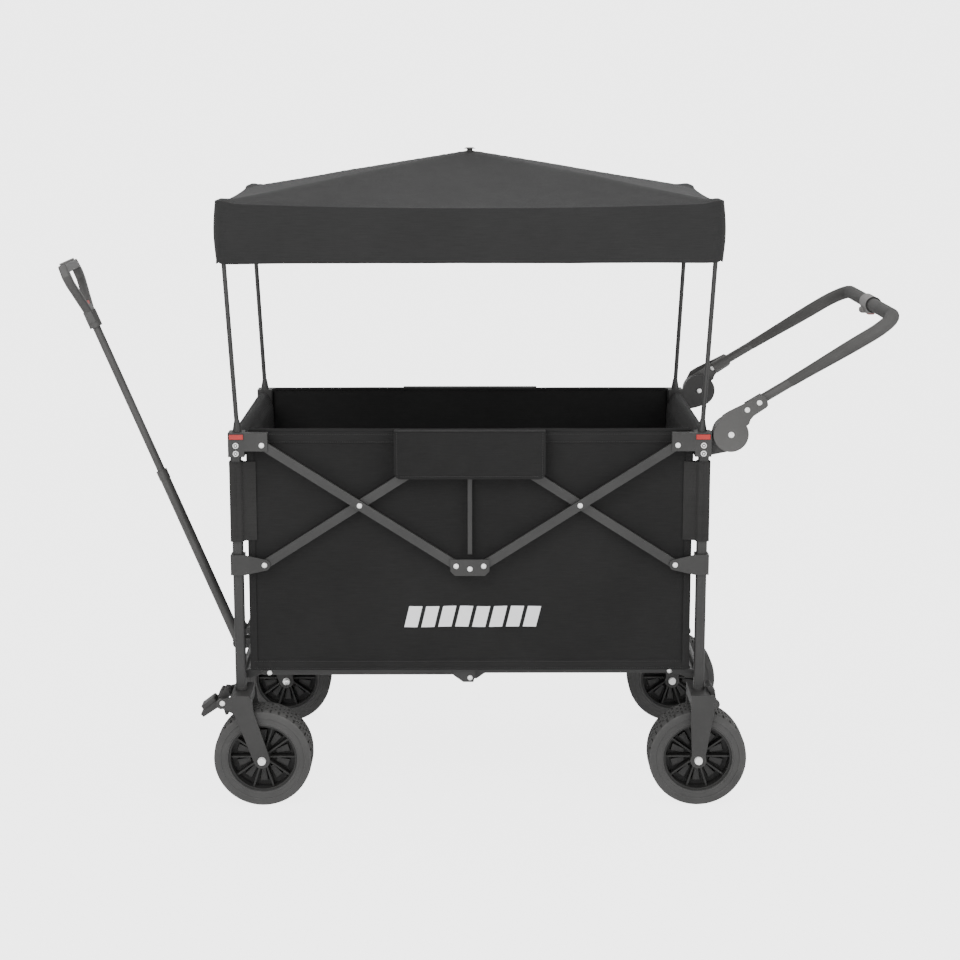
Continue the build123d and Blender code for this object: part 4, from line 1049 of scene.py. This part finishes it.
def matHeight(x, y):
    edge = min(floorMat["half"][0] - abs(x), floorMat["half"][1] - abs(y))
    crown = 1 - math.exp(-max(0, edge) / 0.008)
    fold = abs(math.sin(math.pi * (x + floorMat["half"][0]) / (2 * floorMat["half"][0])
                        * floorMat["channels"]))
    seam = 1 - 0.55 * math.exp(-(fold / 0.10) ** 2) if edge > 0.01 else 1
    return floorMat["thick"] * (0.35 + 0.65 * crown) * seam + 0.0005 * wave(x, y, 2, (9, 9))


clearSelection()
bpy.ops.mesh.primitive_grid_add(x_subdivisions=110, y_subdivisions=64, size=1)
mat = named("floorPad")
mat.scale = (2 * floorMat["half"][0], 2 * floorMat["half"][1], 1)
settle(mat)
writeUv(mat, lambda p: (p.x, p.y))
openMesh(mat)
bpy.ops.mesh.select_all(action="SELECT")
bpy.ops.mesh.extrude_region()
movePicked(mat, lambda p: Vector((p.x, p.y, 1.0)))
closeMesh()
reshape(mat, lambda p: Vector((p.x, p.y, floorMat["low"]
                               + (max(0.0012, matHeight(p.x, p.y)) if p.z > 0.5 else 0))))
tidyMesh(mat)
smooth(mat, 50)
place(mat, "front_frame", "tub_cloth", cloths["tubOxford"], "floor_mat")
crumpleWithFold(mat)
print("floor ready")

# end panels run up inside the top tube and over it
endPanel = {"x": 0.3856, "low": 0.2410, "bend": 0.6380, "half": 0.2330, "hemHalf": 0.2282, "thick": 0.0016,
            "tube": (0.4050, 0.6550), "wrap": 0.0094}


def endPath():
    # X (towards the end), Z and length along the panel, from the floor over the tube.
    cx, cz = endPanel["tube"]
    path = [(endPanel["x"], endPanel["low"] + s * (endPanel["bend"] - endPanel["low"]) / 44)
            for s in range(45)]
    for step in range(1, 15):
        turn = math.radians(172 - step * 12.5)
        path.append((cx + endPanel["wrap"] * math.cos(turn), cz + endPanel["wrap"] * math.sin(turn)))
    return path


endLine = endPath()
endRuns = [0.0]
for a, b in zip(endLine, endLine[1:]):
    endRuns.append(endRuns[-1] + math.hypot(b[0] - a[0], b[1] - a[1]))


def alongEnd(s):
    for index in range(1, len(endRuns)):
        if s <= endRuns[index] + 1e-9:
            t = (s - endRuns[index - 1]) / (endRuns[index] - endRuns[index - 1])
            a, b = endLine[index - 1], endLine[index]
            return a[0] + (b[0] - a[0]) * t, a[1] + (b[1] - a[1]) * t
    return endLine[-1]


for end, sign, seed in (("front", -1, 11), ("rear", 1, 15)):
    length = endRuns[-1]

    def where(u, v, sign=sign, seed=seed):
        x, z = alongEnd(v)
        t = max(0, min(1, (z - 0.620) / 0.020)) if v < length - 0.03 else 1
        half = endPanel["half"] * (1 - t) + endPanel["hemHalf"] * t
        y = (u / endPanel["half"] - 1) * half
        w = v / length
        slack = (0.004 * wave(y, z, seed, (8, 3)) + 0.002
                 * wave(y, z, seed + 2, (22, 6))) * hold(u / (2 * endPanel["half"]),
                                                         0.08) * hold(min(1, w / 0.86), 0.12)
        return (sign * (x - max(-0.004, min(0.005, slack + 0.002 * math.sin(math.pi * min(1, w / 0.86))))), y,
                z)
    panel = clothGrid(end + "EndPanel", 2 * endPanel["half"], length, (70, 76), where, endPanel["thick"])
    place(panel, end + "_frame", "tub_cloth", cloths["tubOxford"], end + "_panel")
print("end panels ready")

# sleeves that hold the tub to the legs
sleeve = {"low": 0.476, "high": 0.617, "half": 0.0107, "corner": 0.0052, "thick": 0.0012, "legX": 0.405,
          "legY": 0.240}

gusset = {"from": (0.4050, 0.2518), "to": (0.3715, 0.2386), "width": 0.0360, "sag": 0.0016, "notch": 0.0}


def sleeveShell(name, x, y):
    piece = addBox(name, (x - sleeve["half"], y - sleeve["half"], sleeve["low"]),
                   (x + sleeve["half"], y + sleeve["half"], sleeve["high"]))
    openMesh(piece, "EDGE")
    pickEdges(piece, lambda e: abs(e.verts[0].co.z - e.verts[1].co.z) > 0.1)
    bpy.ops.mesh.bevel(offset=sleeve["corner"], segments=5)
    bpy.ops.mesh.select_mode(type="FACE")
    pickFaces(piece, lambda f: abs(f.normal.z) > 0.9)
    bpy.ops.mesh.delete(type="FACE")
    for step in range(1, 28):
        bpy.ops.mesh.select_all(action="SELECT")
        bpy.ops.mesh.bisect(plane_co=(0, 0, sleeve["low"] + step * (sleeve["high"] - sleeve["low"]) / 28),
                            plane_no=(0, 0, 1))
    closeMesh()
    writeUv(piece, lambda p: (math.atan2(p.y - y, p.x - x) * 0.011, p.z))

    def pucker(p):
        ends = math.exp(-min(p.z - sleeve["low"], sleeve["high"] - p.z) / 0.006)
        swell = 1 + 0.02 * ends + 0.022 * wave(p.z, p.x + p.y, 9, (16, 20))
        return Vector((x + (p.x - x) * swell, y + (p.y - y) * swell, p.z))
    reshape(piece, pucker)
    addModifier(piece, "SOLIDIFY", thickness=sleeve["thick"], offset=1)
    return smooth(piece, 50)


for end, sign in (("front", -1), ("rear", 1)):
    shells = [sleeveShell("sleeve", sign * sleeve["legX"], side * sleeve["legY"]) for side in (-1, 1)]
    for side in (-1, 1):  # tab from the sleeve to the wall, and the gusset outside it
        tabX = sorted((sign * 0.3862, sign * 0.3945))
        tab = addBox("tab", (tabX[0], side * 0.2325 - 0.0011, sleeve["low"] + 0.001),
                     (tabX[1], side * 0.2325 + 0.0011, sleeve["high"] - 0.001))
        shells.append(roundEdges(tab, 0.0006, 2))
        def bridge(u, v, sign=sign, side=side):
            t = u / gusset["width"]
            x = gusset["from"][0] + (gusset["to"][0] - gusset["from"][0]) * t
            y = gusset["from"][1] + (gusset["to"][1] - gusset["from"][1]) * t
            y -= gusset["sag"] * math.sin(math.pi * t) * (1 + 0.3 * math.sin(v * 60 + side))
            trim = gusset["notch"] * max(0, math.sin(math.pi * min(1, t * 1.3))) if sign < 0 else 0
            z = sleeve["low"] + 0.001 + v * (1 - trim)
            return (sign * x, side * y, z)
        shells.append(clothGrid("gusset", gusset["width"], sleeve["high"] - sleeve["low"] - 0.002, (12, 30),
                                bridge, 0.0012))
    whole = joinPieces(end + "Sleeves", shells)
    writeUv(whole, lambda p: (p.x + p.y, p.z))
    smooth(whole, 50)
    place(whole, end + "_frame", "tub_cloth", cloths["sleeveOxford"])
print("sleeves ready")

# corner tape where the side walls meet the end panels
for end, sign in (("front", -1), ("rear", 1)):
    tapes = []
    for side in (-1, 1):
        def where(u, v, sign=sign, side=side):
            z = 0.2415 + v
            turn = u - 0.012
            if turn < 0:
                return (sign * 0.3871, side * (0.2382 + turn), z)
            return (sign * (0.3871 - turn), side * 0.2386, z)
        tapes.append(clothGrid("cornerTape", 0.024, 0.4275, (10, 44), where, 0.0011))
    corner = joinPieces(end + "CornerTapes", tapes)
    place(corner, end + "_frame", "tub_cloth", cloths["hemTape"])

# flaps over the top hub

flap = {"half": 0.1305, "over": 0.0285, "low": 0.5895, "y": 0.2642, "top": 0.6722, "thick": 0.0013}


def makeFlap(side, name, seed):
    drop = flap["top"] - flap["low"]
    length = flap["over"] + drop
    bendR = 0.004

    def where(u, v):
        x = u - flap["half"]
        if v < flap["over"]:
            t = v / flap["over"]
            y = 0.2357 + t * (flap["y"] - 0.2357)
            z = flap["top"] - 0.0006 * math.sin(math.pi * t) - bendR * max(0, (t - 0.86) / 0.14) ** 2 * 0.35
        else:
            t = (v - flap["over"]) / drop
            y = flap["y"] + 0.0009 + (0.0012 * wave(x, t, seed, (16, 1.5)) + 0.0013
                                      * math.sin(x * 60)) * t ** 1.5 * 0.6
            edge = max(0, abs(x) - (flap["half"] - 0.012)) / 0.012
            z = flap["top"] - 0.0014 - t * (drop - 0.0014 - 0.010 * (1 - math.sqrt(max(0, 1 - edge ** 2))))
        return (x, side * y, z)
    piece = clothGrid(name, 2 * flap["half"], length, (66, 34), where, flap["thick"])
    place(piece, "top_hubs", "tub_cloth", cloths["tubOxford"], "hub_flaps")
    crumpleWithFold(piece)
    rows = []
    inset = 0.005
    for pointSet in ([(-flap["half"] + inset, s) for s in (0.012, 0.98)],
                     [(flap["half"] - inset, s) for s in (0.012, 0.98)],
                     [(-flap["half"] + 0.012 + k * (2 * flap["half"] - 0.024) / 40, 0.94)
                      for k in range(41)]):
        line = []
        for x, t in pointSet:
            spot = Vector(where(x + flap["half"], flap["over"] + t * drop))
            line.append((spot + Vector((0, side * 0.0008, 0)), Vector((0, side, 0))))
        rows.append(line)
    stitches = stitchesAlong(name + "Stitches", rows)
    place(stitches, "top_hubs", "tub_cloth", thread)
    crumpleWithFold(stitches)


makeFlap(-1, "hubFlapNear", 21)
makeFlap(1, "hubFlapFar", 23)

# reflective safety stripe on the near wall, a row of slanted bars
stripe = {"centre": (0.0048, 0.3385), "bar": (0.0230, 0.0375), "count": 8, "step": 0.0298, "slant": 0.0090,
          "thick": 0.0009}
bars = []
for index in range(stripe["count"]):
    midX = stripe["centre"][0] + (index - (stripe["count"] - 1) / 2) * stripe["step"]

    def where(u, v, midX=midX):
        w, h = stripe["bar"]
        x = midX - w / 2 + u + (v / h - 0.5) * stripe["slant"]
        z = stripe["centre"][1] - h / 2 + v
        return (x, -(wallOut(x, z, 1) + 0.0013), z)
    bars.append(clothGrid("bar", *stripe["bar"], (9, 12), where, stripe["thick"]))
stripes = joinPieces("reflectiveStripe", bars)
place(stripes, "front_frame", "tub_cloth", cloths["patchCloth"])
crumpleWithFold(stripes)
print("flaps and patch ready")

# canopy

canopy = {"half": (0.4305, 0.2585), "eave": 1.0615, "peak": 1.1418, "low": 0.9598, "thick": 0.0014,
          "corner": 0.016, "sag": 0.010, "eaveSag": 0.0085, "horn": 0.0065}


def makeCanopy():
    hx, hy = canopy["half"]
    clearSelection()
    bpy.ops.mesh.primitive_grid_add(x_subdivisions=92, y_subdivisions=56, size=1)
    piece = named("canopyCover")
    piece.scale = (2 * hx, 2 * hy, 1)
    settle(piece)
    openMesh(piece, "EDGE")
    pickEdges(piece, lambda e: len(e.link_faces) == 1)
    for step in range(14):
        bpy.ops.mesh.extrude_region_move(TRANSFORM_OT_translate={"value": (0, 0, -0.1)})
    closeMesh()
    depth = canopy["eave"] - canopy["low"]

    def flatUv(p):
        down = max(0, -p.z) / 1.4 * depth
        if abs(abs(p.x) - hx) < 1e-5 and p.z < -0.01:
            return (p.x + math.copysign(down, p.x), p.y)
        return (p.x, p.y + (math.copysign(down, p.y) if p.z < -0.01 else 0))

    writeUv(piece, flatUv)

    def roofShape(p):
        x, y = p.x, p.y
        down = max(0.0, -p.z) / 1.4
        t = max(abs(x) / hx, abs(y) / hy)
        low = min(abs(x) / hx, abs(y) / hy)
        between = 1 - low / t if t > 1e-6 else 0.0
        longSide = abs(y) / hy >= abs(x) / hx
        z = canopy["peak"] - (canopy["peak"] - canopy["eave"]) * t
        z -= canopy["sag"] * math.sin(math.pi * min(1, t)) ** 0.8 * between ** 1.3 * (1.0 if longSide else 0.7)
        z -= canopy["eaveSag"] * (t ** 3) * (1 - (low / max(t, 1e-6)) ** 2.2) * (1 if longSide else 0.6)
        z += 0.0012 * wave(x, y, 31, (9, 9)) * t * (1 - t) * 4
        away = math.hypot(abs(x) - (hx - 0.010), abs(y) - (hy - 0.010))
        z += canopy["horn"] * math.exp(-(away / 0.016) ** 2)
        # soft folds fan out from each corner
        pull = math.hypot((abs(x) - hx) * 0.75, (abs(y) - hy) * 0.75) + 0.02
        fan = math.atan2(hy - abs(y) + 0.003, hx - abs(x) + 0.003)
        z += 0.0011 * math.sin(fan * 13) * math.exp(-pull / 0.075) * min(1.0, (1 - t) * 14)
        # round the corner in plan
        cx, cy = abs(x) - (hx - canopy["corner"]), abs(y) - (hy - canopy["corner"])
        nx, ny = x, y
        if cx > 0 and cy > 0:
            most = max(cx, cy)
            far = math.hypot(cx, cy)
            scale = most / far
            nx = math.copysign(hx - canopy["corner"] + cx * scale, x)
            ny = math.copysign(hy - canopy["corner"] + cy * scale, y)
        if down > 0:
            top = z
            bottom = canopy["low"] + 0.0010 * wave(x, y, 33, (7, 7)) + 0.0008
            z = top + (bottom - top) * down
            # hang: hem waves out and in, held at the corners
            s = x if longSide else y
            span = hx if longSide else hy
            free = max(0.0, 1 - (abs(s) / span) ** 6)
            wobble = (0.0042 * wave(s, 0, 35 + (1 if (y if longSide else x) > 0 else 0), (6, 1)) +
                      0.0022 * wave(s, down, 37, (17, 2))) * free * down ** 0.8
            nearEnd = min(1.0, abs(s) / span) ** 6 if longSide else 1.0
            flare = -0.0030 * math.sin(math.pi * down) * free * longSide + 0.0038 * math.sin(math.pi * down) * nearEnd
            out = max(-0.010, min(0.0075, wobble + flare))
            if longSide:
                ny += math.copysign(out, y)
            else:
                nx += math.copysign(out, x)
            # lower corners drawn up a little
            near = math.exp(-((hx - abs(x)) + (hy - abs(y))) / 0.010)
            z += 0.004 * near * down ** 6 - 0.0024 * (abs(x) / hx) ** 5 * down * (x < 0)
        return Vector((nx, ny, z))

    reshape(piece, roofShape)
    tidyMesh(piece)
    return piece


cover = makeCanopy()
addModifier(cover, "SOLIDIFY", thickness=canopy["thick"], offset=-1)
smooth(cover, 55)
place(cover, "canopy", "canopy_cloth", cloths["canopyOxford"], "canopy_roof")
crumpleWithFold(cover)
print("canopy ready")

# push handle grip

foamSet = {"from": 0.127, "gap": 0.0312, "start": 0.0089, "full": 0.0121, "ramp": 0.150}


def pushPoint(s, y):
    turn = math.radians(31.15)
    along, across = Vector((math.cos(turn), 0, math.sin(turn))), Vector((-math.sin(turn), 0, math.cos(turn)))
    p = Vector((0.449, 0, 0.667)) + along * s + across * 0.0233
    return Vector((p.x, y, p.z))


def foamLine(side):
    radius, reach, y = 0.055, 0.344, 0.247
    along = (pushPoint(1, 0) - pushPoint(0, 0)).normalized()
    points = [pushPoint(foamSet["from"] + k * (reach - radius - foamSet["from"]) / 16, side * y)
              for k in range(17)]
    centre = pushPoint(reach - radius, side * (y - radius))
    for k in range(1, 19):
        turn = math.pi / 2 * k / 18
        points.append(centre + along * radius * math.sin(turn)
                      + Vector((0, side * radius * math.cos(turn), 0)))
    points += [pushPoint(reach, side * (y - radius - k * (y - radius - foamSet["gap"]) / 24))
               for k in range(1, 25)]
    return points


foams = []
for side in (-1, 1):
    points = foamLine(side)
    curve = bpy.data.curves.new("foam", "CURVE")
    curve.dimensions = "3D"
    curve.bevel_depth = 1.0
    curve.bevel_resolution = 6
    curve.use_fill_caps = True
    spline = curve.splines.new("POLY")
    spline.points.add(len(points) - 1)
    gone = 0.0
    for index, point in enumerate(points):
        if index:
            gone += (point - points[index - 1]).length
        rise = min(1, gone / foamSet["ramp"])
        radius = foamSet["start"] + (foamSet["full"] - foamSet["start"]) * (rise * rise * (3 - 2 * rise))
        if index in (0, len(points) - 1):
            radius -= 0.0009
        spline.points[index].co = (*point, 1)
        spline.points[index].radius = radius
    roll = bpy.data.objects.new("foamRoll", curve)
    bpy.context.scene.collection.objects.link(roll)
    takeUp(roll)
    bpy.ops.object.convert(target="MESH")
    foams.append(bpy.context.object)
foam = joinPieces("pushFoam", foams)
tidyMesh(foam)
smooth(foam, 40)
place(foam, "push_handle", "foam", hard["gripFoam"], "push_foam")
print("grip foam ready")

# outer plate of each push arm: a round disc that runs into the arm
armPlate = {"disc": (0.449, 0.667), "radius": 0.0302, "face": (0.2627, 0.2647), "fill": (0.2555, 0.2630),
            "upper": [(0.4990, 0.7360), (0.4775, 0.7250), (0.4562, 0.7146), (0.4440, 0.7085),
                      (0.4330, 0.7015)],
            "lower": [(0.4795, 0.6855), (0.4815, 0.6925), (0.4870, 0.6995), (0.5085, 0.7140)],
            "end": [(0.5112, 0.7178), (0.5104, 0.7235), (0.5062, 0.7325)]}


def plateFrom(name, outline, low, high, edge):
    # a flat plate of the given X and Z outline, between two distances from the middle plane
    clearSelection()
    bpy.ops.mesh.primitive_circle_add(vertices=len(outline), radius=1, fill_type="NGON")
    piece = named(name)
    for vert, (x, z) in zip(piece.data.vertices, outline):
        vert.co = (x, low, z)
    openMesh(piece)
    bpy.ops.mesh.select_all(action="SELECT")
    bpy.ops.mesh.extrude_region_move(TRANSFORM_OT_translate={"value": (0, high - low, 0)})
    closeMesh()
    return roundEdges(tidyMesh(piece), edge, 3)


plates = []
for side in (-1, 1):
    cx, cz = armPlate["disc"]
    ring = [(cx + armPlate["radius"] * math.cos(math.radians(a)),
             cz + armPlate["radius"] * math.sin(math.radians(a)))
            for a in range(140, 391, 10)]
    outline = ring + armPlate["lower"] + armPlate["end"] + armPlate["upper"]
    low, high = sorted(side * y for y in armPlate["face"])
    plates.append(plateFrom("plate", outline, low, high, 0.0008))
    low, high = sorted(side * y for y in armPlate["fill"])
    filled = [(0.4805, 0.6990)] + armPlate["lower"][2:] + armPlate["end"] + armPlate["upper"][:2]
    plates.append(plateFrom("fill", filled, low, high, 0.0006))
place(joinPieces("pushArmPlates", plates), "push_handle", "dark_plastic", hard["handlePaint"])

# dark ring beside the release housing, and the finger tab under it
clearSelection()
barMiddle = pushPoint(0.344, 0)
bpy.ops.mesh.primitive_torus_add(major_radius=0.0136, minor_radius=0.0013, major_segments=48,
                                 minor_segments=10,
                                 location=(barMiddle.x, -0.0325, barMiddle.z), rotation=(math.pi / 2, 0, 0))
ring = smooth(settle(named("housingRing")), 60)
place(ring, "push_handle", "dark_plastic", hard["rimPlastic"])
tab = addBox("releaseTab", (barMiddle.x - 0.0165, 0.0020, barMiddle.z - 0.0195),
             (barMiddle.x + 0.0020, 0.0270, barMiddle.z - 0.0085))
reshape(tab, lambda p: Vector((p.x, 0.0145 + (p.y - 0.0145) * (0.72 if p.z < barMiddle.z - 0.015 else 1.0),
                               p.z)))
roundEdges(tab, 0.0042, 4)
place(tab, "push_handle", "dark_plastic", hard["housingPlastic"])

# bright pivots of the push handle
headsOn("pushRivets", "push_handle", rivet, [(pushPoint(0.045, 0).x, 0.2647, pushPoint(0.045, 0).z),
                                             (pushPoint(0.069, 0).x, 0.2647, pushPoint(0.069, 0).z)])
innerHeads = []
for x, z, y in [(pushPoint(s, 0).x, pushPoint(s, 0).z, 0.2465)
                for s in (0.045, 0.069)] + [(0.449, 0.667, 0.2344)]:
    innerHeads.append(duplicateOf(rivet, "inner", Matrix.Translation((x, y, z))))
    innerHeads.append(duplicateOf(rivet, "inner", Matrix.Translation((x, -y, z))
                                  @ Matrix.Rotation(math.pi, 4, "Z")))
place(joinPieces("pushInnerRivets", innerHeads), "push_handle", "bright_metal", hard["steelZinc"])
headsOn("pushPivots", "push_handle", screw, [(0.449, 0.2647, 0.667)])
for old in (rivet, screw, stitchMaster):
    bpy.data.objects.remove(old)
